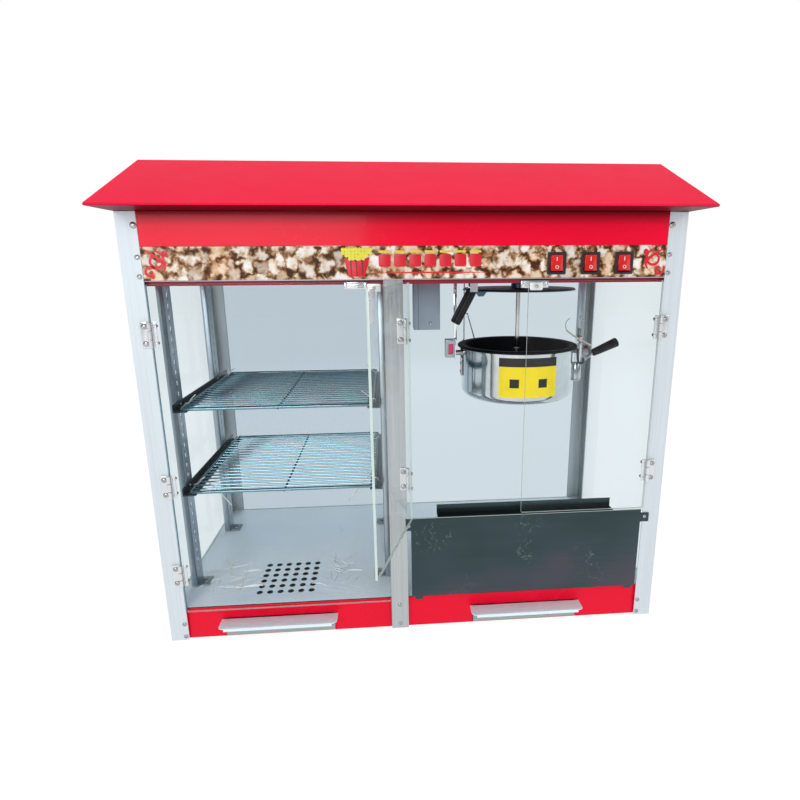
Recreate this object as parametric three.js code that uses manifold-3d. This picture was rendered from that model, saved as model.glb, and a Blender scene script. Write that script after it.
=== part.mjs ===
// Countertop popcorn machine with a warming cabinet: a popping compartment with a tipping kettle on the
// right, a warming compartment with two wire shelves on the left, under one folded red roof.
// Millimetres, +Z up, front towards -Y. The origin is the centre of the base plate's underside.
import * as THREE from "three";
import { mergeVertices } from "three/addons/utils/BufferGeometryUtils.js";
import Module from "manifold-3d";

const wasm = await Module();
wasm.setup();

// ---------------------------------------------------------------- driving dimensions
const GAP = 0.3; // play between neighbouring parts
const WIDTH = 860; // over the corner posts
const DEPTH = 400; // over the corner posts
const POST = 30; // leg of the angle posts
const POST_WALL = 2;
const SHEET = 1.5; // painted sheet steel
const PANE = 4; // acrylic and glass
const EAVE_Z = 712; // top of the posts, underside of the roof
const BASE_WALL_Z = 58; // top of the base tray
const FLOOR_SHEET = 2;
const CEILING_Z = 605; // underside of the ceiling plate
const FASCIA_Z = 612; // bottom edge of the fascia
const FASCIA_SPLIT_Z = 662; // between the control panel and the red fascia
const POST_X = -32; // middle of the centre post
const FRONT_RECESS = 5.5; // base front wall behind the post faces, room for the left door

const ROOF = { width: 866, halfDepth: 276, halfFlat: 85, topZ: 800, edge: 3, soffit: 126 };
const KETTLE = { x: 208, y: -15, rimZ: 484, rimR: 115, shellR: 107, bottomZ: 384, pivotZ: 468 };
const LID = { radius: 106, bottomZ: 586.5, topZ: 602 };
const SHAFT_R = 4;
const STUB_RISE = 7.5; // top of the stirrer's stub over the tipping axis, so that it clears the shaft when it tips
const DOOR = { topZ: 608, leftBottomZ: 54, rightBottomZ: 214.5, near: 0.7, play: 1.1, meetX: 179.5 };
const CENTER_DOOR_OPEN = 107; // degrees that the centre door stands open
const HINGE = { leaf: 13, plate: 3, height: 40, barrelR: 3.2, axisY: 4, zs: [533, 286, 126] };
const DRAWER = { leftX: -242.5, rightX: 194.5, width: 189, depth: 176, topZ: 34.5, lip: 28, lipWidth: 201 };
const BAFFLE = { x0: -10.5, x1: 396, z0: 63, z1: 213, sheet: 1.2, lip: 20, upstand: 15 };
const SHELF = { x0: -393, x1: -67, y0: -150, y1: 170, rail: 6, wire: 3, wires: 19, sink: 0.5 };
const SHELF_Z = { upper: 405, lower: 256 }; // top face of each shelf
const UPRIGHT = { face: 11, web: 32, wall: 1.5, slot: 6, slotHeight: 7, pitch: 20, ys: [-130, 85] };
const RACK = { leftX: -402, rightX: -58, reach: 22, rail: 2.5 }; // inner sides of the uprights
const VENT = { holes: 6, pitch: 18.5, radius: 4.6, y: -114, leftX: -238, rightX: 194 };
const HEATER = { x0: -130, x1: -60, y0: -150, y1: 20, topZ: 52 };
const LAMP = { x: -220, y: 0, bottomZ: 610, holeR: 40 };
const MOTOR = { bottomZ: 610, gearboxHeight: 42, topZ: 700, canR: 31, canShift: 12 };
const EXHAUST = { x0: -260, x1: -140, z: 628, height: 5, pitch: 14, slots: 5 };
const INLET = { x: 350, z: 652 };
const LEVER = { x: 108, y: -100, z: 594, gripR: 9, gripFrom: 3.5, gripTo: 68.5, cheek: 10 };
const CATCH = { z0: 597.5, z1: 609, centerX0: 169.5, centerX1: 213.5, leftX0: -107, leftX1: -72 };
const SWITCH = { xs: [223, 277, 331], z: 635, width: 30, height: 34, rockerW: 19, rockerH: 24 };

const HALF_W = WIDTH / 2;
const FRONT = -DEPTH / 2;
const BACK = DEPTH / 2;
const INNER_X = HALF_W - POST_WALL - GAP; // outer side of everything inside the post legs
const INNER_BACK = BACK - POST_WALL - 0.5;
const FLOOR_Z = BASE_WALL_Z + GAP + FLOOR_SHEET;
const PANE_Z0 = FLOOR_Z + GAP;
const PANE_Z1 = CEILING_Z - GAP;
const BASE_FRONT = FRONT + FRONT_RECESS;

// ---------------------------------------------------------------- materials
const finish = (color, roughness, metalness, more = {}) =>
  new THREE.MeshStandardMaterial({ color, roughness, metalness, ...more });
const clear = { transparent: true, opacity: 0.25 };
const RED = finish(0xd8062a, 0.3, 0.1);
const RED_INNER = finish(0x8c0a24, 0.45, 0.1);
const ALUMINIUM = finish(0xc9d2d8, 0.35, 0.9);
const STEEL = finish(0xa9b2b6, 0.22, 1);
const FILM_STEEL = finish(0xbfd2e4, 0.35, 0.5);
const CHROME = finish(0xdfe4e6, 0.1, 1);
const ACRYLIC = finish(0xeaf4f4, 0.05, 0, clear);
const GLASS = finish(0xdfe8ea, 0.05, 0, clear);
const PRINT = finish(0xe8d9a8, 0.4, 0);
const NON_STICK = finish(0x17181a, 0.55, 0.2);
const BLACK = finish(0x101114, 0.5, 0);
const GREY_BLUE = finish(0x8fa3b0, 0.5, 0.2);
const ROCKER_RED = finish(0xe01b1b, 0.3, 0);
const LAMP_GLASS = finish(0xfff0d0, 0.2, 0);

// ---------------------------------------------------------------- shape helpers
function box(x0, x1, y0, y1, z0, z1) {
  return new THREE.BoxGeometry(x1 - x0, y1 - y0, z1 - z0).translate(
    (x0 + x1) / 2,
    (y0 + y1) / 2,
    (z0 + z1) / 2,
  );
}

// A cylinder from one point to another.
function rod(from, to, radius, sides = 16, endRadius = radius) {
  const a = new THREE.Vector3(...from);
  const b = new THREE.Vector3(...to);
  const along = b.clone().sub(a);
  const turn = new THREE.Quaternion().setFromUnitVectors(
    new THREE.Vector3(0, 1, 0),
    along.clone().normalize(),
  );
  return new THREE.CylinderGeometry(endRadius, radius, along.length(), sides)
    .applyQuaternion(turn)
    .translate(...a.add(b).multiplyScalar(0.5).toArray());
}

// An outline of [y, z] points swept along X.
function sweepX(points, x0, x1) {
  const shape = new THREE.Shape(points.map(([y, z]) => new THREE.Vector2(y, z)));
  const geometry = new THREE.ExtrudeGeometry(shape, { depth: x1 - x0, bevelEnabled: false });
  const axes = new THREE.Matrix4().makeBasis(
    new THREE.Vector3(0, 1, 0),
    new THREE.Vector3(0, 0, 1),
    new THREE.Vector3(1, 0, 0),
  );
  return geometry.applyMatrix4(axes).translate(x0, 0, 0);
}

// A profile of [radius, z] points turned about the vertical axis through (x, y).
function turned(profile, x, y, sides) {
  return new THREE.LatheGeometry(profile.map(([r, z]) => new THREE.Vector2(r, z)), sides)
    .rotateX(Math.PI / 2)
    .translate(x, y, 0);
}

function toSolid(geometry) {
  const bare = geometry.clone();
  bare.deleteAttribute("normal");
  bare.deleteAttribute("uv");
  const merged = mergeVertices(bare, 1e-3);
  return new wasm.Manifold(
    new wasm.Mesh({
      numProp: 3,
      vertProperties: merged.getAttribute("position").array,
      triVerts: new Uint32Array(merged.index.array),
    }),
  );
}

function toGeometry(solid) {
  const mesh = solid.getMesh();
  const geometry = new THREE.BufferGeometry();
  geometry.setAttribute("position", new THREE.BufferAttribute(mesh.vertProperties, 3));
  geometry.setIndex(new THREE.BufferAttribute(mesh.triVerts, 1));
  const flat = geometry.toNonIndexed();
  flat.computeVertexNormals();
  return flat;
}

const joined = (geometries) =>
  toGeometry(geometries.map(toSolid).reduce((all, next) => all.add(next)));
const cut = (geometry, tools) =>
  toGeometry(tools.map(toSolid).reduce((left, tool) => left.subtract(tool), toSolid(geometry)));

const machine = new THREE.Group();

function add(name, geometry, material, parent = machine) {
  const mesh = new THREE.Mesh(geometry, material);
  mesh.name = name;
  parent.add(mesh);
  return mesh;
}

// ---------------------------------------------------------------- base
// A folded tray, open at the top, with a slot in front for each crumb drawer.
function baseTray() {
  const through = 10;
  const shell = box(-INNER_X, INNER_X, BASE_FRONT, INNER_BACK, 0, BASE_WALL_Z);
  const hollow = box(
    -INNER_X + SHEET,
    INNER_X - SHEET,
    BASE_FRONT + SHEET,
    INNER_BACK - SHEET,
    SHEET,
    BASE_WALL_Z + through,
  );
  const slots = [DRAWER.leftX, DRAWER.rightX].map((x) =>
    box(
      x - DRAWER.width / 2 - 1,
      x + DRAWER.width / 2 + 1,
      BASE_FRONT - through,
      BASE_FRONT + through,
      SHEET,
      DRAWER.topZ + 1,
    ),
  );
  return cut(shell, [hollow, ...slots]);
}

// A floor sheet with a grid of crumb holes above a drawer.
function floorPlate(x0, x1, ventX) {
  const plate = box(x0, x1, BASE_FRONT, INNER_BACK, BASE_WALL_Z + GAP, FLOOR_Z);
  const holes = [];
  const middle = (VENT.holes - 1) / 2;
  for (let i = 0; i < VENT.holes; i++)
    for (let j = 0; j < VENT.holes; j++) {
      const x = ventX + (i - middle) * VENT.pitch;
      const y = VENT.y + (j - middle) * VENT.pitch;
      holes.push(rod([x, y, BASE_WALL_Z - 2], [x, y, FLOOR_Z + 2], VENT.radius, 6));
    }
  return cut(plate, holes);
}

add("base_tray", baseTray(), RED);
add("floor_plate_left", floorPlate(-INNER_X, POST_X - GAP, VENT.leftX), FILM_STEEL);
add("floor_plate_right", floorPlate(POST_X + GAP, INNER_X, VENT.rightX), FILM_STEEL);

// A crumb drawer: an open tray with a lip to pull it by.
function drawer(x) {
  const half = DRAWER.width / 2;
  const z0 = SHEET + GAP + 0.2;
  const y0 = BASE_FRONT - 1.5;
  const y1 = y0 + DRAWER.depth;
  const tray = box(x - half, x + half, y0, y1, z0, DRAWER.topZ);
  const inside = box(x - half + 1.2, x + half - 1.2, y0 + 1.2, y1 - 1.2, z0 + 1.2, DRAWER.topZ + 5);
  const lipHalf = DRAWER.lipWidth / 2;
  const lipY = y0 - DRAWER.lip;
  const lip = box(x - lipHalf, x + lipHalf, lipY, y0 + 0.6, DRAWER.topZ - 1.5, DRAWER.topZ);
  const fold = box(x - lipHalf, x + lipHalf, lipY, lipY + 1.5, DRAWER.topZ - 6, DRAWER.topZ);
  return joined([cut(tray, [inside]), lip, fold]);
}

add("drawer_left", drawer(DRAWER.leftX), FILM_STEEL);
add("drawer_right", drawer(DRAWER.rightX), FILM_STEEL);

// The fan heater that warms the left compartment stands beside its drawer, under the floor.
add(
  "warmer_heater",
  box(HEATER.x0, HEATER.x1, HEATER.y0, HEATER.y1, SHEET + GAP, HEATER.topZ),
  STEEL,
);

// ---------------------------------------------------------------- frame
function anglePost(sideX, sideY) {
  const corner = [sideX * HALF_W, sideY * BACK];
  const span = (edge, side, reach) => [edge, edge - side * reach].sort((a, b) => a - b);
  const [fx0, fx1] = span(corner[0], sideX, POST);
  const [fy0, fy1] = span(corner[1], sideY, POST_WALL);
  const [sx0, sx1] = span(corner[0], sideX, POST_WALL);
  const [sy0, sy1] = span(corner[1], sideY, POST);
  const z1 = EAVE_Z - GAP;
  return joined([box(fx0, fx1, fy0, fy1, 0, z1), box(sx0, sx1, sy0, sy1, 0, z1)]);
}

for (const [endName, sideY] of [["front", -1], ["rear", 1]])
  for (const [sideName, sideX] of [["left", -1], ["right", 1]])
    add(`corner_post_${endName}_${sideName}`, anglePost(sideX, sideY), ALUMINIUM);

// The centre post is a channel, open to the back, which holds the front edge of the partition.
function centerPost() {
  const x0 = POST_X - POST / 2;
  const x1 = POST_X + POST / 2;
  const face = box(x0, x1, FRONT, FRONT + POST_WALL, 0, FASCIA_Z - GAP);
  const cheeks = [
    [x0, x0 + POST_WALL],
    [x1 - POST_WALL, x1],
  ].map(([a, b]) => box(a, b, FRONT + 1, FRONT + 20, PANE_Z0, PANE_Z1));
  const clearance = box(x0 - 1, x1 + 1, FRONT + 9, FRONT + 30, CEILING_Z - 1, FASCIA_Z + 1);
  return cut(joined([face, ...cheeks]), [clearance]);
}
add("center_post", centerPost(), STEEL);

// ---------------------------------------------------------------- fixed panes
const paneX = INNER_X - PANE;
const rearY = INNER_BACK - PANE;
const paneFront = FRONT + POST_WALL + 0.5;
add("side_glass_left", box(-INNER_X, -paneX, paneFront, INNER_BACK, PANE_Z0, PANE_Z1), GLASS);
add("side_glass_right", box(paneX, INNER_X, paneFront, INNER_BACK, PANE_Z0, PANE_Z1), GLASS);
add("rear_glass", box(-paneX + GAP, paneX - GAP, rearY, INNER_BACK, PANE_Z0, PANE_Z1), GLASS);
add(
  "partition_glass",
  box(POST_X - PANE / 2, POST_X + PANE / 2, paneFront, rearY - GAP, PANE_Z0, PANE_Z1),
  ACRYLIC,
);

// ---------------------------------------------------------------- ceiling, fascia and top housing
function ceilingPlate() {
  const y0 = FRONT + 10;
  const top = CEILING_Z + SHEET;
  const plate = box(-INNER_X, INNER_X, y0, INNER_BACK, CEILING_Z, top);
  const flangeX = INNER_X - SHEET - GAP;
  const flange = box(-flangeX, flangeX, y0, y0 + SHEET, CEILING_Z, FASCIA_Z);
  const shaftHole = rod([KETTLE.x, KETTLE.y, CEILING_Z - 5], [KETTLE.x, KETTLE.y, top + 5], 7);
  const lampHole = rod([LAMP.x, LAMP.y, CEILING_Z - 5], [LAMP.x, LAMP.y, top + 5], LAMP.holeR, 24);
  return cut(joined([plate, flange]), [shaftHole, lampHole]);
}
add("ceiling_plate", ceilingPlate(), RED_INNER);

const FASCIA_X = HALF_W - POST - GAP;
add(
  "fascia_panel",
  box(-FASCIA_X, FASCIA_X, FRONT, FRONT + SHEET, FASCIA_SPLIT_Z + GAP, EAVE_Z - GAP),
  RED,
);

const switchBodyW = SWITCH.width - 4;
const switchBodyH = SWITCH.height - 4;
function controlPanel() {
  const panel = box(-FASCIA_X, FASCIA_X, FRONT, FRONT + SHEET, FASCIA_Z, FASCIA_SPLIT_Z);
  const holes = SWITCH.xs.map((x) =>
    box(
      x - switchBodyW / 2 - GAP,
      x + switchBodyW / 2 + GAP,
      FRONT - 5,
      FRONT + 5,
      SWITCH.z - switchBodyH / 2 - GAP,
      SWITCH.z + switchBodyH / 2 + GAP,
    ),
  );
  return cut(panel, holes);
}
add("control_panel", controlPanel(), PRINT);

// A box about the middle of the power inlet, its depths measured from the back face.
const inletBox = (halfX, halfZ, y0, y1) =>
  box(
    INLET.x - halfX,
    INLET.x + halfX,
    INNER_BACK + y0,
    INNER_BACK + y1,
    INLET.z - halfZ,
    INLET.z + halfZ,
  );

// Sides and back of the top housing are one folded sheet, with exhaust slots in the back.
function topHousing() {
  const z0 = CEILING_Z + SHEET + GAP;
  const z1 = EAVE_Z - GAP;
  const outer = box(-INNER_X, INNER_X, paneFront, INNER_BACK, z0, z1);
  const inner = box(
    -INNER_X + SHEET,
    INNER_X - SHEET,
    paneFront - 5,
    INNER_BACK - SHEET,
    z0 - 5,
    z1 + 5,
  );
  const slots = [];
  for (let i = 0; i < EXHAUST.slots; i++) {
    const z = EXHAUST.z + i * EXHAUST.pitch;
    slots.push(
      box(EXHAUST.x0, EXHAUST.x1, INNER_BACK - 5, INNER_BACK + 5, z, z + EXHAUST.height),
    );
  }
  const inletHole = inletBox(15, 12, -5, 5);
  return cut(outer, [inner, ...slots, inletHole]);
}
add("top_housing", topHousing(), RED);

const inletBody = joined([inletBox(14, 11, -18, GAP), inletBox(19, 15, GAP, 2.3)]);
add("power_inlet", cut(inletBody, [inletBox(11, 8, -13, 5)]), BLACK);

// ---------------------------------------------------------------- roof
// One folded sheet: soffits, turned eaves, two slopes and a flat top.
function roofShell() {
  const { halfDepth: d, halfFlat: f, topZ, edge, soffit, width } = ROOF;
  const t = SHEET;
  const lip = d - soffit;
  const outer = [
    [-lip, EAVE_Z],
    [-d, EAVE_Z],
    [-d, EAVE_Z + edge],
    [-f, topZ],
    [f, topZ],
    [d, EAVE_Z + edge],
    [d, EAVE_Z],
    [lip, EAVE_Z],
  ];
  const inner = [
    [lip, EAVE_Z + t],
    [d - t, EAVE_Z + t],
    [d - t, EAVE_Z + edge - 0.8],
    [f - 0.3, topZ - t],
    [-f + 0.3, topZ - t],
    [-d + t, EAVE_Z + edge - 0.8],
    [-d + t, EAVE_Z + t],
    [-lip, EAVE_Z + t],
  ];
  return sweepX([...outer, ...inner], -width / 2, width / 2);
}
add("roof_shell", roofShell(), RED);

const gable = [
  [-ROOF.halfDepth + 6, EAVE_Z + 2],
  [-ROOF.halfFlat + 1, ROOF.topZ - 2],
  [ROOF.halfFlat - 1, ROOF.topZ - 2],
  [ROOF.halfDepth - 6, EAVE_Z + 2],
];
for (const [sideName, side] of [["left", -1], ["right", 1]]) {
  const [x0, x1] = [side * (ROOF.width / 2 - 1.5), side * (ROOF.width / 2 - 3)].sort((a, b) => a - b);
  add(`roof_end_${sideName}`, sweepX(gable, x0, x1), RED);
}

// ---------------------------------------------------------------- doors and hinges
// A hinge stands in front of the post, its barrel over the gap between post and door.
// side is +1 where the door lies towards +X of its hinge.
function hinge(axisX, side, z) {
  const far = axisX - side * HINGE.leaf;
  const [x0, x1] = [far, axisX].sort((a, b) => a - b);
  const y = FRONT - HINGE.axisY;
  const leaf = box(
    x0,
    x1,
    FRONT - GAP - HINGE.plate,
    FRONT - GAP,
    z - HINGE.height / 2,
    z + HINGE.height / 2,
  );
  const barrel = rod(
    [axisX, y, z - HINGE.height / 2],
    [axisX, y, z + HINGE.height / 2],
    HINGE.barrelR,
  );
  return joined([leaf, barrel]);
}

// A door with its hinge leaves, drawn about its hinge axis, which stands at the local origin.
function door(side, width, z0, hingeZs) {
  const near = side * DOOR.near;
  const [x0, x1] = [near, near + side * width].sort((a, b) => a - b);
  const parts = [box(x0, x1, HINGE.axisY, HINGE.axisY + PANE, z0, DOOR.topZ)];
  for (const z of hingeZs) {
    const [a, b] = [side * (HINGE.barrelR + 0.5), side * (HINGE.leaf + 1.5)].sort((p, q) => p - q);
    const y0 = HINGE.axisY - GAP - HINGE.plate;
    parts.push(box(a, b, y0, HINGE.axisY + 0.5, z - HINGE.height / 2, z + HINGE.height / 2));
  }
  return joined(parts);
}

// farX is where the free edge would stand without its play.
const DOORS = [
  {
    name: "left",
    axisX: -HALF_W + POST + 0.4,
    side: 1,
    farX: POST_X - POST / 2,
    z0: DOOR.leftBottomZ,
    zs: HINGE.zs,
    open: 0,
  },
  {
    name: "center",
    axisX: POST_X + POST / 2 + 2.4,
    side: 1,
    farX: DOOR.meetX,
    z0: DOOR.rightBottomZ,
    zs: HINGE.zs.slice(0, 2),
    open: CENTER_DOOR_OPEN,
  },
  {
    name: "right",
    axisX: HALF_W - POST - 0.4,
    side: -1,
    farX: DOOR.meetX,
    z0: DOOR.rightBottomZ,
    zs: HINGE.zs.slice(0, 2),
    open: 0,
  },
];

for (const d of DOORS) {
  d.zs.forEach((z, i) => add(`hinge_${d.name}_${i + 1}`, hinge(d.axisX, d.side, z), CHROME));
  const swing = new THREE.Group();
  swing.position.set(d.axisX, FRONT - HINGE.axisY, 0);
  swing.rotation.z = THREE.MathUtils.degToRad(-d.side * d.open);
  machine.add(swing);
  const width = Math.abs(d.farX - d.axisX) - DOOR.near - DOOR.play;
  add(`door_${d.name}`, door(d.side, width, d.z0, d.zs), ACRYLIC, swing);
}

// Magnetic catches on the flange behind the door tops.
const catchBody = (x0, x1) => box(x0, x1, FRONT + 4.6, FRONT + 9.7, CATCH.z0, CATCH.z1);
add("catch_center", catchBody(CATCH.centerX0, CATCH.centerX1), CHROME);
add("catch_left", catchBody(CATCH.leftX0, CATCH.leftX1), CHROME);

// ---------------------------------------------------------------- baffle of the popping side
function baffle() {
  const { x0, x1, z0, z1, sheet, lip, upstand } = BAFFLE;
  const yb = FRONT - GAP;
  const yf = yb - sheet;
  const lipX0 = x0 + 46;
  const lipX1 = x1 - 50;
  return joined([
    box(x0, x1, yf, yb, z0, z1),
    box(x0 - 9, x0 + 1, yf, yb, z1 - 23, z1 - 1), // left tab, over the centre post
    box(x1 - 1, x1 + 15, yf, yb, z1 - 24, z1 - 7), // right tab, over the corner post
    box(x0 + 6, x0 + 20, yf, yb, z0 - 6, z0 + 1), // feet
    box(x1 - 20, x1 - 6, yf, yb, z0 - 6, z0 + 1),
    box(lipX0, lipX1, yf, yb + lip, z1 - sheet, z1), // lip to the back
    box(lipX0, lipX1, yb + lip - sheet, yb + lip, z1 - sheet, z1 + upstand), // upstand of the lip
  ]);
}
add("baffle", baffle(), STEEL);

// ---------------------------------------------------------------- warming side: racks and shelves
// Two slotted angle uprights with a flat support rail under each shelf. toShelf is +1 where the
// shelf lies towards +X, and x is the side of the uprights that faces the shelf.
function rack(x, toShelf) {
  const { face, web, wall, slot, slotHeight, pitch, ys } = UPRIGHT;
  const across = (from, to, y0, y1, z0, z1) => {
    const [a, b] = [x + toShelf * from, x + toShelf * to].sort((p, q) => p - q);
    return box(a, b, y0, y1, z0, z1);
  };
  const parts = [];
  const slots = [];
  for (const y of ys) {
    parts.push(across(-face, 0, y, y + wall, PANE_Z0, PANE_Z1));
    parts.push(across(-wall, 0, y, y + web, PANE_Z0, PANE_Z1));
    for (let z = PANE_Z0 + pitch; z < PANE_Z1 - pitch; z += pitch)
      slots.push(across(-5, 5, y + web / 2 - slot / 2, y + web / 2 + slot / 2, z, z + slotHeight));
  }
  const rails = Object.values(SHELF_Z).map((z) => {
    const top = z - SHELF.rail - GAP;
    return across(-wall, RACK.reach, SHELF.y0, SHELF.y1, top - RACK.rail, top);
  });
  return joined([cut(joined(parts.slice(0, 2)), slots), cut(joined(parts.slice(2)), slots), ...rails]);
}
add("rack_left", rack(RACK.leftX, 1), STEEL);
add("rack_right", rack(RACK.rightX, -1), STEEL);

// A wire shelf: two side rails, thick end wires, and thin wires between them, on one middle stay.
function wireShelf(z) {
  const { x0, x1, y0, y1, rail, wire, wires } = SHELF;
  const parts = [
    box(x0, x0 + rail, y0, y1, z - rail, z),
    box(x1 - rail, x1, y0, y1, z - rail, z),
    box(x0, x1, y0, y0 + rail, z - rail, z),
    box(x0, x1, y1 - rail, y1, z - rail, z),
  ];
  const middle = (x0 + x1) / 2;
  const stayTop = z - SHELF.sink - wire - GAP;
  parts.push(box(middle - 1, middle + 1, y0 + 1, y1 - 1, z - rail + 0.4, stayTop));
  const pitch = (y1 - y0) / (wires + 1);
  for (let i = 1; i <= wires; i++) {
    const y = y0 + i * pitch;
    parts.push(
      box(x0 + 1, x1 - 1, y - wire / 2, y + wire / 2, z - SHELF.sink - wire, z - SHELF.sink),
    );
  }
  return joined(parts);
}
add("shelf_upper", wireShelf(SHELF_Z.upper), STEEL);
add("shelf_lower", wireShelf(SHELF_Z.lower), STEEL);

// The lamp stands in the top housing and shines down through the hole in the ceiling.
const lampProfile = [
  [0, 0],
  [18, 4],
  [29, 18],
  [29, 28],
  [16, 48],
  [14, 50],
  [14, 80],
  [0, 80],
].map(([r, up]) => [r, LAMP.bottomZ + up]);
add("warming_lamp", turned(lampProfile, LAMP.x, LAMP.y, 20), LAMP_GLASS);

// ---------------------------------------------------------------- kettle
const SIDES = 30;
const pinEnds = { left: 72, right: 346 };

// The polished outer shell, with the two trunnion pins that it tips on.
function kettleShell() {
  const { x, y, shellR: r, bottomZ: b, rimZ, pivotZ } = KETTLE;
  const bend = 16;
  const wall = 1.5;
  const top = rimZ - 4 - GAP;
  const quarter = (radius, steps = 4) =>
    Array.from({ length: steps + 1 }, (_, i) => {
      const a = (i / steps) * (Math.PI / 2);
      return [r - bend + radius * Math.sin(a), b + bend - radius * Math.cos(a)];
    });
  const profile = [
    [0, b],
    ...quarter(bend),
    [r, top],
    [r - wall, top],
    ...quarter(bend - wall).reverse(),
    [0, b + wall],
  ];
  const body = turned(profile, x, y, SIDES);
  const pins = [
    rod([x - r + 1, y, pivotZ], [pinEnds.left, y, pivotZ], 5),
    rod([x + r - 1, y, pivotZ], [pinEnds.right, y, pivotZ], 5),
  ];
  return joined([body, ...pins]);
}

// The black cooking pot hangs in the shell by its flange.
function kettlePot() {
  const { x, y, rimZ, rimR } = KETTLE;
  const inner = 98;
  const floorZ = 402;
  const profile = [
    [0, floorZ - 2],
    [inner - 12, floorZ - 2],
    [inner + 2, floorZ + 12],
    [inner + 4, rimZ - 4],
    [rimR, rimZ - 4],
    [rimR, rimZ],
    [inner + 2, rimZ],
    [inner, floorZ + 13],
    [inner - 13, floorZ],
    [0, floorZ],
  ];
  return turned(profile, x, y, SIDES);
}

// Scraper blades on a short stub, which the drive shaft turns through a dog at its top.
function agitator() {
  const { x, y, pivotZ } = KETTLE;
  const z0 = 402 + 1;
  return joined([
    rod([x, y, z0 + 1], [x, y, pivotZ + STUB_RISE], SHAFT_R + 1.5),
    rod([x, y, z0], [x, y, z0 + 16], 11),
    box(x - 82, x + 82, y - 2, y + 2, z0, z0 + 9),
    box(x - 2, x + 2, y - 60, y + 60, z0, z0 + 7),
  ]);
}

const shaftBottom = KETTLE.pivotZ + 9.5;
add("kettle_shell", kettleShell(), CHROME);
add("kettle_pot", kettlePot(), NON_STICK);
add("agitator", agitator(), STEEL);
add(
  "drive_shaft",
  rod([KETTLE.x, KETTLE.y, shaftBottom], [KETTLE.x, KETTLE.y, MOTOR.bottomZ + 16], SHAFT_R),
  STEEL,
);

// The tipping handle is clamped on the end of the right trunnion.
function kettleHandle() {
  const { y, pivotZ } = KETTLE;
  const hubX0 = 348 - 9;
  const hub = rod([hubX0, y, pivotZ], [350, y, pivotZ], 10);
  const arm = box(hubX0 + 2, 349, y - 4, y + 4, pivotZ - 20, pivotZ);
  const stem = rod([344, y, pivotZ - 17], [362, y, pivotZ - 4], 3);
  const grip = rod([360, y, pivotZ - 6], [410, y, pivotZ + 16], 7.5, 14, 9.5);
  const bore = rod([hubX0 - 5, y, pivotZ], [pinEnds.right + GAP, y, pivotZ], 5.3);
  return cut(joined([hub, arm, stem, grip]), [bore]);
}
add("kettle_handle", kettleHandle(), BLACK);

function kettleLid() {
  const { radius, bottomZ, topZ } = LID;
  const { x, y } = KETTLE;
  const profile = [
    [SHAFT_R + 1, bottomZ + 1],
    [radius - 3.4, bottomZ + 2],
    [radius - 1.6, bottomZ],
    [radius, bottomZ],
    [radius - 2, bottomZ + 3.5],
    [14, bottomZ + 5],
    [14, topZ],
    [SHAFT_R + 1, topZ],
    [SHAFT_R + 1, bottomZ + 1],
  ];
  return turned(profile, x, y, SIDES);
}
add("kettle_lid", kettleLid(), STEEL);

// Gear motor above the ceiling: a gearbox with the motor standing on it.
function gearMotor() {
  const { x, y } = KETTLE;
  const { bottomZ, gearboxHeight, topZ, canR, canShift } = MOTOR;
  const gearTop = bottomZ + gearboxHeight;
  const canX = x + canShift;
  const gearbox = box(x - 50, x + 50, y - 38, y + 38, bottomZ, gearTop);
  const can = rod([canX, y, gearTop - 2], [canX, y, topZ], canR, 24);
  const socket = rod([x, y, bottomZ - 3], [x, y, bottomZ + 18], SHAFT_R + 0.4);
  return cut(joined([gearbox, can]), [socket]);
}
add("gear_motor", gearMotor(), STEEL);

// The hangers carry the trunnions from the ceiling.
function hangerLeft() {
  const { y, pivotZ } = KETTLE;
  const bore = rod([60, y, pivotZ], [95, y, pivotZ], 5.4);
  return cut(
    joined([
      box(84, 90, y - 2, y + 2, pivotZ, PANE_Z1),
      box(84, 87, y - 14, y + 14, pivotZ - 12, pivotZ + 30),
      box(68, 85, y - 13, y + 13, pivotZ - 8, pivotZ + 26),
      box(74, 100, y - 14, y + 14, PANE_Z1 - 2, PANE_Z1),
    ]),
    [bore],
  );
}
function hangerRight() {
  const { y, pivotZ } = KETTLE;
  const bore = rod([320, y, pivotZ], [345, y, pivotZ], 5.4);
  return cut(
    joined([
      box(328, 340, y - 2.5, y + 2.5, pivotZ + 20, PANE_Z1),
      box(330, 334, y - 14, y + 14, pivotZ - 28, pivotZ + 30),
      box(322, 352, y - 14, y + 14, PANE_Z1 - 2, PANE_Z1),
    ]),
    [bore],
  );
}
add("hanger_left", hangerLeft(), CHROME);
add("hanger_right", hangerRight(), CHROME);

// Cable duct that comes down from the ceiling beside the kettle.
add("wire_duct", box(6, 54, -60, -10, 518, PANE_Z1), GREY_BLUE);

// The lever that lowers and lifts the lid, on its bracket under the ceiling.
function leverBracket() {
  const { x, y, z, cheek } = LEVER;
  const wall = 2;
  return joined([
    box(x - 24, x + 8, y - cheek - 4, y + cheek + 4, PANE_Z1 - 1.5, PANE_Z1),
    box(x - 7, x + 6, y - cheek - wall, y - cheek, z - 6, PANE_Z1),
    box(x - 7, x + 6, y + cheek, y + cheek + wall, z - 6, PANE_Z1),
    rod([x, y - cheek - 1, z], [x, y + cheek + 1, z], 2.5),
  ]);
}
add("lever_bracket", leverBracket(), CHROME);

function liftLever() {
  const { x, y, z, gripR, gripFrom, gripTo } = LEVER;
  const lean = new THREE.Vector3(-0.465, 0, -0.885);
  const at = (reach) => [x + lean.x * reach, y, z + lean.z * reach];
  const hub = rod([x, y - gripR, z], [x, y + gripR, z], 5.5);
  const bore = rod([x, y - gripR - 5, z], [x, y + gripR + 5, z], 2.9);
  return cut(joined([hub, rod(at(gripFrom), at(gripTo), gripR)]), [bore]);
}
add("lift_lever", liftLever(), BLACK);

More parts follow.
